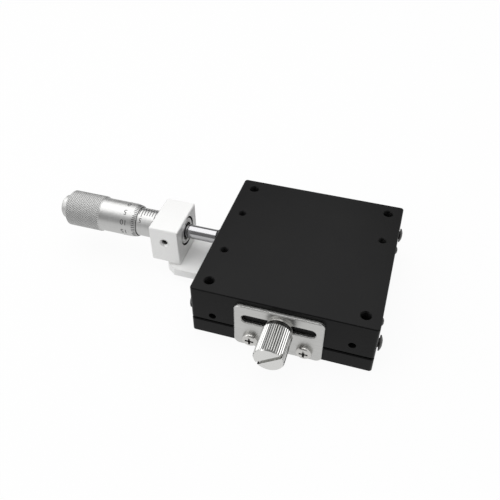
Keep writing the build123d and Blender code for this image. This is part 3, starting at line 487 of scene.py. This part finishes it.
def ground_steel(colours):
    """Bearing steel, surface ground along its length: cool grey with long fine lines."""
    material, tree, shader = new_finish("Surface Ground Bearing Steel", metallic=1.0, roughness=0.24)
    lines = grain(tree, 0.2, drawn=(30, 1, 1), detail=3.0)
    tint(tree, shader, lines, darker(colours.ground, 0.78), colours.ground)
    vary(tree, shader, "Roughness", lines, 0.18, 0.34)
    relief(tree, shader, lines, 0.003, edge=0.06)
    return material


def hardened_steel(colours):
    """Quenched tool steel, left dark and lapped on its face."""
    material, tree, shader = new_finish("Dark Quenched Tool Steel", metallic=0.9, roughness=0.3)
    temper = grain(tree, 1.2)
    tint(tree, shader, temper, darker(colours.hardened, 0.6), colours.hardened)
    vary(tree, shader, "Roughness", temper, 0.24, 0.4)
    relief(tree, shader, temper, 0.004, edge=0.1)
    return material


def rolled_brass(colours):
    """Hard-rolled brass strip, punched: warm and lightly streaked along the rolling."""
    material, tree, shader = new_finish("Rolled Brass Strip", metallic=1.0, roughness=0.3)
    lines = grain(tree, 0.2, drawn=(20, 1, 1))
    tint(tree, shader, lines, darker(colours.brass, 0.75), colours.brass)
    vary(tree, shader, "Roughness", lines, 0.25, 0.4)
    relief(tree, shader, lines, 0.003)
    return material


def spring_wire(colours):
    """Drawn spring wire: grey, with drawing lines and a thin film of oil."""
    material, tree, shader = new_finish("Drawn Spring Wire", metallic=1.0, roughness=0.32)
    shader.inputs["Coat Weight"].default_value = 0.3
    lines = grain(tree, 0.15, drawn=(4, 1, 1))
    tint(tree, shader, lines, darker(colours.spring, 0.6), colours.spring)
    vary(tree, shader, "Roughness", lines, 0.26, 0.4)
    relief(tree, shader, lines, 0.01)
    return material


def mark_filling(colours):
    """Black lacquer rubbed into engraved lines: matt, a little thin in places."""
    material, tree, shader = new_finish("Rubbed-in Black Lacquer", roughness=0.6)
    thin = grain(tree, 0.25)
    tint(tree, shader, thin, darker(colours.marks, 0.7), darker(colours.marks, 1.6))
    vary(tree, shader, "Roughness", thin, 0.5, 0.75)
    relief(tree, shader, thin, 0.004)
    return material


def finish(material, slot, *names):
    """Gives CAD nodes, or pieces, a finish."""
    for name in names:
        piece = frame["nodes"].get(name) or bpy.data.objects[name]
        piece.data.materials.clear()
        piece.data.materials.append(material)


def paired(*names):
    return [f"{name}_{side}" for name in names for side in SIDES]


def piece_from(shape, name, body, sharp=35.0):
    """Turns a bmesh into a piece that rides on a body, smooth but for its sharp edges."""
    bmesh.ops.recalc_face_normals(shape, faces=shape.faces)
    mesh = bpy.data.meshes.new(name)
    shape.to_mesh(mesh)
    shape.free()
    mesh.shade_smooth()
    mesh.set_sharp_from_angle(angle=math.radians(sharp))
    piece = bpy.data.objects.new(name, mesh)
    bpy.context.scene.collection.objects.link(piece)
    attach(piece, body)
    return piece


def knurl_height(around, along):
    """Height of a flat-topped knurl, 0 in a groove and 1 on top, at a place counted in diamonds."""
    ramps = [abs(2 * ((around + sign * along) % 1.0) - 1) for sign in (1, -1)]
    return min(1.0, FLAT_TOP * min(ramps))


def thimble_rows(sizes):
    """The thimble's outline as rows of (x, radius, diamonds along the grip, or None off the knurl)."""
    bore = SLEEVE_RADIUS + sizes.bore
    hole = SPINDLE_RADIUS
    wall_x = THIMBLE_LOW.x + sizes.wall
    grip_start = THIMBLE_LOW.x + sizes.grip
    first = grip_start - sizes.edge
    last = THIMBLE_LOW.x + sizes.edge
    steps = 4 * round((first - last) / sizes.pitch)
    rows = [
        (wall_x, hole, None),
        (wall_x, bore, None),
        (MOUTH_X, bore, None),
        (MOUTH_X, sizes.mouth_radius - MOUTH_EDGE, None),
        (MOUTH_X - MOUTH_EDGE, sizes.mouth_radius, None),
        (MOUTH_X - sizes.cone, sizes.plain_radius, None),
        (grip_start + 0.15 * MM, sizes.plain_radius, None),
        (grip_start, sizes.plain_radius + 0.05 * MM, None),
    ]
    rows += [(first + (last - first) * i / steps, GRIP_RADIUS, i / 4) for i in range(steps + 1)]
    rows += [
        (THIMBLE_LOW.x, GRIP_RADIUS - sizes.edge, None),
        (THIMBLE_LOW.x, hole, None),
    ]
    return rows


def knurled_thimble(sizes):
    """The thimble as a turned shell, its grip cut with diamonds four facets across."""
    shape = bmesh.new()
    groove = shape.verts.layers.float.new(GROOVE_SHADE)
    segments = 4 * sizes.diamonds
    loops = []
    for x, radius, along in thimble_rows(sizes):
        loop = []
        for i in range(segments):
            angle = math.tau * i / segments
            height = 1.0 if along is None else knurl_height(i / 4, along)
            reach = radius - sizes.depth * (1 - height)
            place = (x, reach * math.cos(angle), AXIS_Z + reach * math.sin(angle))
            vert = shape.verts.new(place)
            # the groove number drives the shade painted in the knurl's grooves
            vert[groove] = (1 - height) ** 3
            loop.append((vert, height))
        loops.append(loop)
    for near, far in zip(loops, loops[1:] + loops[:1]):
        for i in range(segments):
            j = (i + 1) % segments
            add_facets(shape, near[i], near[j], far[j], far[i])
    return piece_from(shape, "knurled_thimble", "micrometer_screw")


def add_facets(shape, a, b, c, d):
    """Fills four corners, each a vertex and its height, folded along a groove where one crosses."""
    if a[1] == c[1] and b[1] == d[1] and a[1] != b[1]:
        if b[1] < a[1]:
            a, b, c, d = b, c, d, a
        shape.faces.new((a[0], b[0], c[0]))
        shape.faces.new((a[0], c[0], d[0]))
    else:
        shape.faces.new((a[0], b[0], c[0], d[0]))


def line_mark(u, v):
    """A straight mark between two pairs of limits, along the axis and round it."""
    shape = bmesh.new()
    corners = [(u[0], v[0]), (u[1], v[0]), (u[1], v[1]), (u[0], v[1])]
    shape.faces.new([shape.verts.new((*corner, 0.0)) for corner in corners])
    return shape


def digit_marks(text, height, centre):
    """A number as flat faces, its middle at a place along the axis and round it."""
    font = bpy.data.curves.new("digits", "FONT")
    font.body = text
    font.align_x = "CENTER"
    font.align_y = "CENTER"
    font.size = height / CAP_HEIGHT
    font.resolution_u = 3
    holder = bpy.data.objects.new("digits", font)
    mesh = bpy.data.meshes.new_from_object(holder)
    shape = bmesh.new()
    shape.from_mesh(mesh)
    bmesh.ops.translate(shape, verts=shape.verts, vec=(*centre, 0.0))
    bpy.data.objects.remove(holder)
    bpy.data.curves.remove(font)
    bpy.data.meshes.remove(mesh)
    return shape


def wrap(target, mark, start_x, angle, radius_at, sizes):
    """Lays a flat mark on a turned surface as filling that stands a hair over it."""
    low = min(vert.co.y for vert in mark.verts)
    high = max(vert.co.y for vert in mark.verts)
    for i in range(1, math.ceil((high - low) / STRIP)):
        everything = mark.verts[:] + mark.edges[:] + mark.faces[:]
        cut = (0, low + i * STRIP, 0)
        bmesh.ops.bisect_plane(mark, geom=everything, plane_co=cut, plane_no=(0, 1, 0))
    levels = []
    for rise in (sizes.proud, -sizes.sunk):
        copies = {}
        for vert in mark.verts:
            x = start_x - vert.co.x
            surface = radius_at(x)
            turn = angle + vert.co.y / surface
            radius = surface + rise
            place = (x, -radius * math.sin(turn), AXIS_Z + radius * math.cos(turn))
            copies[vert] = target.verts.new(place)
        levels.append(copies)
    top, bottom = levels
    for face in mark.faces:
        target.faces.new([top[vert] for vert in face.verts])
        target.faces.new([bottom[vert] for vert in reversed(face.verts)])
    for edge in mark.edges:
        if edge.is_boundary:
            first, second = edge.verts
            target.faces.new((top[first], top[second], bottom[second], bottom[first]))
    mark.free()


def sleeve_scale(sizes):
    """The sleeve's datum line, its millimetre and half-millimetre lines, and a number every fifth."""
    shape = bmesh.new()
    half = sizes.line / 2
    zero_x = MOUTH_X + TRAVEL
    full = round(2 * TRAVEL / MM)

    def engrave(mark):
        wrap(shape, mark, zero_x, sizes.datum, lambda x: SLEEVE_RADIUS, sizes)

    engrave(line_mark((zero_x - SLEEVE_HIGH.x + half, (full + 1) * MM), (-half, half)))
    for i in range(full + 1):
        tick = sizes.millimetre_tick if i % 5 else sizes.five_tick
        engrave(line_mark((i * MM - half, i * MM + half), (half, tick)))
        if i < full:
            middle = (i + 0.5) * MM
            engrave(line_mark((middle - half, middle + half), (-sizes.half_tick, -half)))
        if i % 5 == 0:
            engrave(digit_marks(str(i), sizes.sleeve_digit, (i * MM, sizes.sleeve_digit_place)))
    return piece_from(shape, "sleeve_scale", "base")


def thimble_scale(sizes, outline):
    """The thimble's division lines on its cone, and a number at every fifth."""
    shape = bmesh.new()
    half = sizes.line / 2

    def radius_at(x):
        share = min(1.0, (MOUTH_X - x) / outline.cone)
        return outline.mouth_radius + share * (outline.plain_radius - outline.mouth_radius)

    for i in range(sizes.divisions):
        angle = sizes.datum + math.tau * i / sizes.divisions
        tick = sizes.thimble_tick if i % 5 else sizes.thimble_five_tick
        wrap(shape, line_mark((0.12 * MM, tick), (-half, half)), MOUTH_X, angle, radius_at, sizes)
        if i % 5 == 0:
            digits = digit_marks(str(i), sizes.thimble_digit, (sizes.thimble_digit_place, 0.0))
            wrap(shape, digits, MOUTH_X, angle, radius_at, sizes)
    return piece_from(shape, "thimble_scale", "micrometer_screw")


def cut_thread(shape, mouth, radius, pitch, crest, depth):
    """Adds a thread's ridge inside a bore, from its mouth, a matrix whose +Z points out, inwards."""
    count = round(THREAD_STEPS * (depth - pitch) / pitch)
    root = radius + 0.03 * MM
    last = None
    for i in range(count + 1):
        turn = math.tau * i / THREAD_STEPS
        height = -pitch * (0.5 + i / THREAD_STEPS)
        section = []
        profile = ((root, THREAD_FLANK), (radius - crest, 0.0), (root, -THREAD_FLANK))
        for reach, offset in profile:
            place = Vector((reach * math.cos(turn), reach * math.sin(turn), height + offset * pitch))
            section.append(shape.verts.new(mouth @ place))
        if last is None:
            shape.faces.new(section)
        else:
            for j in range(3):
                k = (j + 1) % 3
                shape.faces.new((last[j], last[k], section[k], section[j]))
        last = section
    shape.faces.new(reversed(last))


def spring_route(side, wire, turns):
    """The wire's middle line, from a loop round the base's post to one round the table's."""
    low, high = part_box(f"return_spring_{side}")
    y = (low.y + high.y) / 2
    z = (low.z + high.z) / 2
    posts = ("base_spring_posts", "table_spring_posts")
    first, last = (sum(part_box(post), Vector()).x / 2 for post in posts)
    loop = first - low.x - wire / 2
    coil = (high.z - low.z) / 2 - wire / 2
    start, end = first + loop, last - loop
    turned = math.tau - LOOP_GAP
    loop_turns = [LOOP_GAP + turned * i / LOOP_STEPS for i in range(LOOP_STEPS)]
    round_post = [(loop * math.cos(turn), loop * math.sin(turn)) for turn in loop_turns]
    route = [(first + dx, y + dy, z) for dx, dy in round_post]
    steps = COIL_STEPS * turns
    for i in range(steps + 1):
        done = turns * i / steps
        radius = coil * min(1.0, done / COIL_TAPER, (turns - done) / COIL_TAPER)
        turn = math.tau * done
        x = start + (end - start) * i / steps
        route.append((x, y + radius * math.sin(turn), z + radius * math.cos(turn)))
    route += [(last - dx, y - dy, z) for dx, dy in reversed(round_post)]
    return route


def return_coil(side, sizes):
    """A return spring as a wound wire between its posts."""
    route = spring_route(side, sizes.wire, sizes.turns)
    curve = bpy.data.curves.new("spring_route", "CURVE")
    curve.dimensions = "3D"
    curve.bevel_depth = sizes.wire / 2
    curve.bevel_resolution = 2
    curve.use_fill_caps = True
    spline = curve.splines.new("POLY")
    spline.points.add(len(route) - 1)
    for point, place in zip(spline.points, route):
        point.co = (*place, 1.0)
    holder = bpy.data.objects.new("spring_route", curve)
    mesh = bpy.data.meshes.new_from_object(holder)
    bpy.data.objects.remove(holder)
    bpy.data.curves.remove(curve)
    mesh.shade_smooth()
    coil = bpy.data.objects.new(f"return_coil_{side}", mesh)
    bpy.context.scene.collection.objects.link(coil)
    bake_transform(coil)
    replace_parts(coil, f"return_spring_{side}")


def corner_places(low, high, inset):
    """The four corner holes of a plate between two corners of its box."""
    reach = BASE_HIGH.y - inset
    return [(x, side * reach) for x in (low.x + inset, high.x - inset) for side in (-1, 1)]


def table_threads(sizes):
    """Threads of the table's corner holes and of its three small holes."""
    shape = bmesh.new()
    top = TABLE_HIGH.z
    for x, y in corner_places(TABLE_LOW, TABLE_HIGH, sizes.corner_inset):
        mouth = Matrix.Translation((x, y, top))
        cut_thread(shape, mouth, sizes.m4_radius, sizes.m4_pitch, sizes.crest, sizes.m4_depth)
    side_x = TABLE_HIGH.x - sizes.corner_inset
    for x, y in ((-side_x, 1), (-side_x, -1), (side_x, 1)):
        mouth = Matrix.Translation((x, y * sizes.small_hole_y, top))
        cut_thread(shape, mouth, sizes.m3_radius, sizes.m3_pitch, sizes.crest, sizes.m3_depth)
    return piece_from(shape, "table_threads", "table", sharp=20.0)


def base_threads(sizes):
    """Threads of the base's corner holes, from below."""
    shape = bmesh.new()
    upside_down = Matrix.Rotation(math.pi, 4, "X")
    for x, y in corner_places(BASE_LOW, BASE_HIGH, sizes.corner_inset):
        mouth = Matrix.Translation((x, y, BASE_LOW.z)) @ upside_down
        cut_thread(shape, mouth, sizes.m4_radius, sizes.m4_pitch, sizes.crest, sizes.base_depth)
    return piece_from(shape, "base_threads", "base", sharp=20.0)


def clamp_hole_thread(sizes):
    """The thread in the block's front hole, over the clamp screw."""
    shape = bmesh.new()
    middle = (BLOCK_LOW.x + BLOCK_HIGH.x) / 2
    mouth = Matrix.Translation((middle, BLOCK_LOW.y, AXIS_Z)) @ Matrix.Rotation(math.pi / 2, 4, "X")
    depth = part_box("block_clamp_screw")[0].y - BLOCK_LOW.y
    cut_thread(shape, mouth, sizes.m3_radius, sizes.m3_pitch, sizes.crest, depth)
    return piece_from(shape, "clamp_hole_thread", "base", sharp=20.0)


def seen(tree, reflected, otherwise):
    """1 for rays that show the surroundings to the eye, another value for reflections and for light."""
    path = add_node(tree, "ShaderNodeLightPath")
    inputs = {0: path.outputs["Is Glossy Ray"], 2: otherwise, 3: reflected}
    hidden = add_node(tree, "ShaderNodeMix", inputs).outputs[0]
    inputs = {0: path.outputs["Is Camera Ray"], 1: path.outputs["Is Transmission Ray"]}
    direct = add_node(tree, "ShaderNodeMath", inputs, operation="MAXIMUM").outputs[0]
    return add_node(tree, "ShaderNodeMix", {0: direct, 2: hidden, 3: 1.0}).outputs[0]


def studio_floor(settings):
    """A wide pale sheet that keeps the object's shadow; metal shows it lit in front and dark behind."""
    shape = bmesh.new()
    under = BASE_LOW.z - 0.02 * MM
    corners = [(-1, -1), (1, -1), (1, 1), (-1, 1)]
    shape.faces.new([shape.verts.new((x * FLOOR_REACH, y * FLOOR_REACH, under)) for x, y in corners])
    mesh = bpy.data.meshes.new("studio_floor")
    shape.to_mesh(mesh)
    shape.free()
    floor = bpy.data.objects.new("studio_floor", mesh)
    bpy.context.scene.collection.objects.link(floor)
    paper = bpy.data.materials.new("White Paper Sheet")
    paper.use_nodes = True
    tree = paper.node_tree
    tree.nodes.remove(tree.nodes["Principled BSDF"])
    matt = add_node(tree, "ShaderNodeBsdfDiffuse", {"Color": srgb("#F4F4F4")})
    glow = add_node(tree, "ShaderNodeEmission", {"Color": srgb("#FFFFFF"), "Strength": 1.0})
    place = add_node(tree, "ShaderNodeTexCoord").outputs["Object"]
    depth = add_node(tree, "ShaderNodeSeparateXYZ", {0: place}).outputs["Y"]
    inputs = {"Value": depth, "From Max": FLOOR_FADE, "To Min": 1.0, "To Max": settings.dark_side}
    reflected = add_node(tree, "ShaderNodeMapRange", inputs).outputs["Result"]
    lit = seen(tree, reflected, 0.0)
    share = add_node(tree, "ShaderNodeMath", {0: lit, 1: settings.floor_glow}, operation="MULTIPLY")
    inputs = {0: share.outputs[0], 1: matt.outputs[0], 2: glow.outputs[0]}
    mixed = add_node(tree, "ShaderNodeMixShader", inputs)
    tree.links.new(mixed.outputs[0], tree.nodes["Material Output"].inputs["Surface"])
    mesh.materials.append(paper)


def studio_world(settings):
    """White to the eye; metal shows a lit ceiling, lit sides and a dark room between them."""
    world = bpy.data.worlds.new("Studio")
    world.use_nodes = True
    tree = world.node_tree
    direction = add_node(tree, "ShaderNodeTexCoord").outputs["Generated"]
    inputs = {0: direction, 1: OVERHEAD}
    upward = add_node(tree, "ShaderNodeVectorMath", inputs, operation="DOT_PRODUCT").outputs["Value"]
    inputs = {"Value": upward, "From Min": CEILING_EDGE[0], "From Max": CEILING_EDGE[1]}
    ceiling = add_node(tree, "ShaderNodeMapRange", inputs, interpolation_type="SMOOTHSTEP")
    across = add_node(tree, "ShaderNodeSeparateXYZ", {0: direction}).outputs["X"]
    sideways = add_node(tree, "ShaderNodeMath", {0: across}, operation="ABSOLUTE").outputs[0]
    inputs = {"Value": sideways, "From Min": SIDE_EDGE[0], "From Max": SIDE_EDGE[1]}
    sides = add_node(tree, "ShaderNodeMapRange", inputs, interpolation_type="SMOOTHSTEP")
    inputs = {0: ceiling.outputs["Result"], 1: sides.outputs["Result"]}
    lit = add_node(tree, "ShaderNodeMath", inputs, operation="MAXIMUM").outputs[0]
    room = add_node(tree, "ShaderNodeMapRange", {"Value": lit, "To Min": settings.dark_side, "To Max": 1.0})
    strength = seen(tree, room.outputs["Result"], settings.ambient)
    tree.links.new(strength, tree.nodes["Background"].inputs["Strength"])
    tree.nodes["Background"].inputs["Color"].default_value = srgb("#FFFFFF")
    bpy.context.scene.world = world


def soft_box(name, place, aim, size, power):
    """A square lamp that faces a place."""
    lamp = bpy.data.lights.new(name, "AREA")
    lamp.size = size
    lamp.energy = power
    holder = bpy.data.objects.new(name, lamp)
    holder.location = place
    holder.rotation_euler = (Vector(aim) - Vector(place)).to_track_quat("-Z", "Y").to_euler()
    bpy.context.scene.collection.objects.link(holder)


def studio_camera(settings):
    camera = bpy.data.cameras.new("camera")
    camera.sensor_width = 36.0
    camera.lens = settings.lens
    camera.clip_start = 0.01
    holder = bpy.data.objects.new("camera", camera)
    holder.location = settings.camera_place
    holder.rotation_euler = settings.camera_turn
    bpy.context.scene.collection.objects.link(holder)
    bpy.context.scene.camera = holder


class STAGE_OT_base_and_table(bpy.types.Operator):
    """Finishes the black base and table, and cuts the threads of their holes"""

    bl_idname = "linear_stage.base_and_table"
    bl_label = "Base and Table"

    def execute(self, context):
        settings = context.scene.linear_stage
        table_threads(settings.threads)
        base_threads(settings.threads)
        black = blasted_black_anodised(settings.colours)
        finish(black, "black_anodised", "base_plate", "table", "table_threads", "base_threads")
        return {"FINISHED"}


class STAGE_OT_lock(bpy.types.Operator):
    """Finishes the slotted lock plate, its screws, and the knurled lock screw"""

    bl_idname = "linear_stage.lock"
    bl_label = "Table Lock"

    def execute(self, context):
        colours = context.scene.linear_stage.colours
        finish(brushed_stainless(colours), "stainless_plate", "lock_plate")
        finish(nickel_plated_steel(colours), "nickel_screws", "lock_plate_screws", "lock_washer")
        finish(bright_nickel(colours), "bright_nickel", "lock_screw")
        return {"FINISHED"}


class STAGE_OT_screws(bpy.types.Operator):
    """Finishes the blackened screws"""

    bl_idname = "linear_stage.screws"
    bl_label = "Black Screws"

    def execute(self, context):
        black = black_oxide_steel(context.scene.linear_stage.colours)
        single = ("table_end_screws", "preload_screws", "block_clamp_screw", "bracket_screws", "block_screws")
        finish(black, "black_screws", *single)
        finish(black, "black_screws", *paired("inner_rail_screws", "outer_rail_screws"))
        finish(black, "black_screws", *paired("inner_rail_stops", "outer_rail_stops"))
        return {"FINISHED"}


class STAGE_OT_micrometer(bpy.types.Operator):
    """Makes the knurled thimble and finishes the micrometer head"""

    bl_idname = "linear_stage.micrometer"
    bl_label = "Micrometer Head"

    def execute(self, context):
        settings = context.scene.linear_stage
        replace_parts(knurled_thimble(settings.knurl), "micrometer_thimble")
        chrome = satin_chrome(settings.colours)
        parts = ("knurled_thimble", "thimble_cap", "micrometer_stem", "micrometer_sleeve")
        finish(chrome, "satin_chrome", *parts)
        finish(polished_steel(settings.colours), "polished_steel", "micrometer_spindle")
        finish(hardened_steel(settings.colours), "hardened_steel", "anvil")
        return {"FINISHED"}


class STAGE_OT_scales(bpy.types.Operator):
    """Engraves the scales of the sleeve and the thimble"""

    bl_idname = "linear_stage.scales"
    bl_label = "Engraved Scales"

    def execute(self, context):
        settings = context.scene.linear_stage
        sleeve_scale(settings.scales)
        thimble_scale(settings.scales, settings.knurl)
        finish(mark_filling(settings.colours), "black_screws", "sleeve_scale", "thimble_scale")
        return {"FINISHED"}


class STAGE_OT_holder(bpy.types.Operator):
    """Finishes the micrometer's block and bracket, and threads the clamp hole"""

    bl_idname = "linear_stage.holder"
    bl_label = "Block and Bracket"

    def execute(self, context):
        settings = context.scene.linear_stage
        clamp_hole_thread(settings.threads)
        silver = clear_anodised(settings.colours)
        finish(silver, "clear_anodised", "micrometer_block", "clamp_hole_thread")
        # painted light: the bracket takes a paler copy of the block's finish
        finish(washed_anodised(settings.colours), "clear_anodised", "micrometer_bracket")
        return {"FINISHED"}


class STAGE_OT_guide(bpy.types.Operator):
    """Finishes the rails, rollers, cages, springs and their posts"""

    bl_idname = "linear_stage.guide"
    bl_label = "Roller Guide"

    def execute(self, context):
        colours = context.scene.linear_stage.colours
        for side in SIDES:
            return_coil(side, context.scene.linear_stage.springs)
        finish(ground_steel(colours), "ground_steel", *paired("inner_rail", "outer_rail", "rollers"))
        finish(rolled_brass(colours), "brass_cage", *paired("roller_cage"))
        finish(spring_wire(colours), "spring_steel", *paired("return_coil"))
        posts = polished_steel(colours)
        finish(posts, "polished_steel", "base_spring_posts", "table_spring_posts")
        return {"FINISHED"}


class STAGE_OT_studio(bpy.types.Operator):
    """Sets the floor, the room's light, the lamps and the camera"""

    bl_idname = "linear_stage.studio"
    bl_label = "Studio"

    def execute(self, context):
        settings = context.scene.linear_stage.studio
        studio_floor(settings)
        studio_world(settings)
        middle = (0.0, 0.0, 0.01)
        soft_box("overhead_light", (-0.08, 0.09, 0.55), middle, 0.8, settings.key_power)
        soft_box("side_light", (-0.5, -0.35, 0.35), middle, 0.4, settings.side_power)
        studio_camera(settings)
        context.scene.view_settings.view_transform = "Standard"
        return {"FINISHED"}


class STAGE_PG_settings(bpy.types.PropertyGroup):
    """All settings of the stage's finish."""

    colours: PointerProperty(type=StageColours)
    knurl: PointerProperty(type=KnurlSizes)
    scales: PointerProperty(type=ScaleSizes)
    threads: PointerProperty(type=ThreadSizes)
    springs: PointerProperty(type=SpringSizes)
    studio: PointerProperty(type=StudioSizes)


OPERATORS = (
    STAGE_OT_base_and_table,
    STAGE_OT_lock,
    STAGE_OT_screws,
    STAGE_OT_micrometer,
    STAGE_OT_scales,
    STAGE_OT_holder,
    STAGE_OT_guide,
    STAGE_OT_studio,
)


class STAGE_PT_panel(bpy.types.Panel):
    """Lists the stage's pieces and their settings"""

    bl_idname = "STAGE_PT_panel"
    bl_label = "Linear Stage"
    bl_space_type = "VIEW_3D"
    bl_region_type = "UI"
    bl_category = "Linear Stage"

    def draw(self, context):
        layout = self.layout
        for operator in OPERATORS:
            layout.operator(operator.bl_idname)
        settings = context.scene.linear_stage
        sizes = (settings.knurl, settings.scales, settings.threads, settings.springs, settings.studio)
        for group in (settings.colours, *sizes):
            box = layout.box()
            for name in group.__annotations__:
                box.prop(group, name)


GROUPS = (
    StageColours,
    KnurlSizes,
    ScaleSizes,
    ThreadSizes,
    SpringSizes,
    StudioSizes,
    STAGE_PG_settings,
)
CLASSES = (*GROUPS, *OPERATORS, STAGE_PT_panel)


def register():
    for cls in CLASSES:
        bpy.utils.register_class(cls)
    bpy.types.Scene.linear_stage = PointerProperty(type=STAGE_PG_settings)


def unregister():
    del bpy.types.Scene.linear_stage
    for cls in reversed(CLASSES):
        bpy.utils.unregister_class(cls)


def main():
    register()
    for operator in OPERATORS:
        group, name = operator.bl_idname.split(".")
        getattr(getattr(bpy.ops, group), name)()


if __name__ == "__main__":
    main()
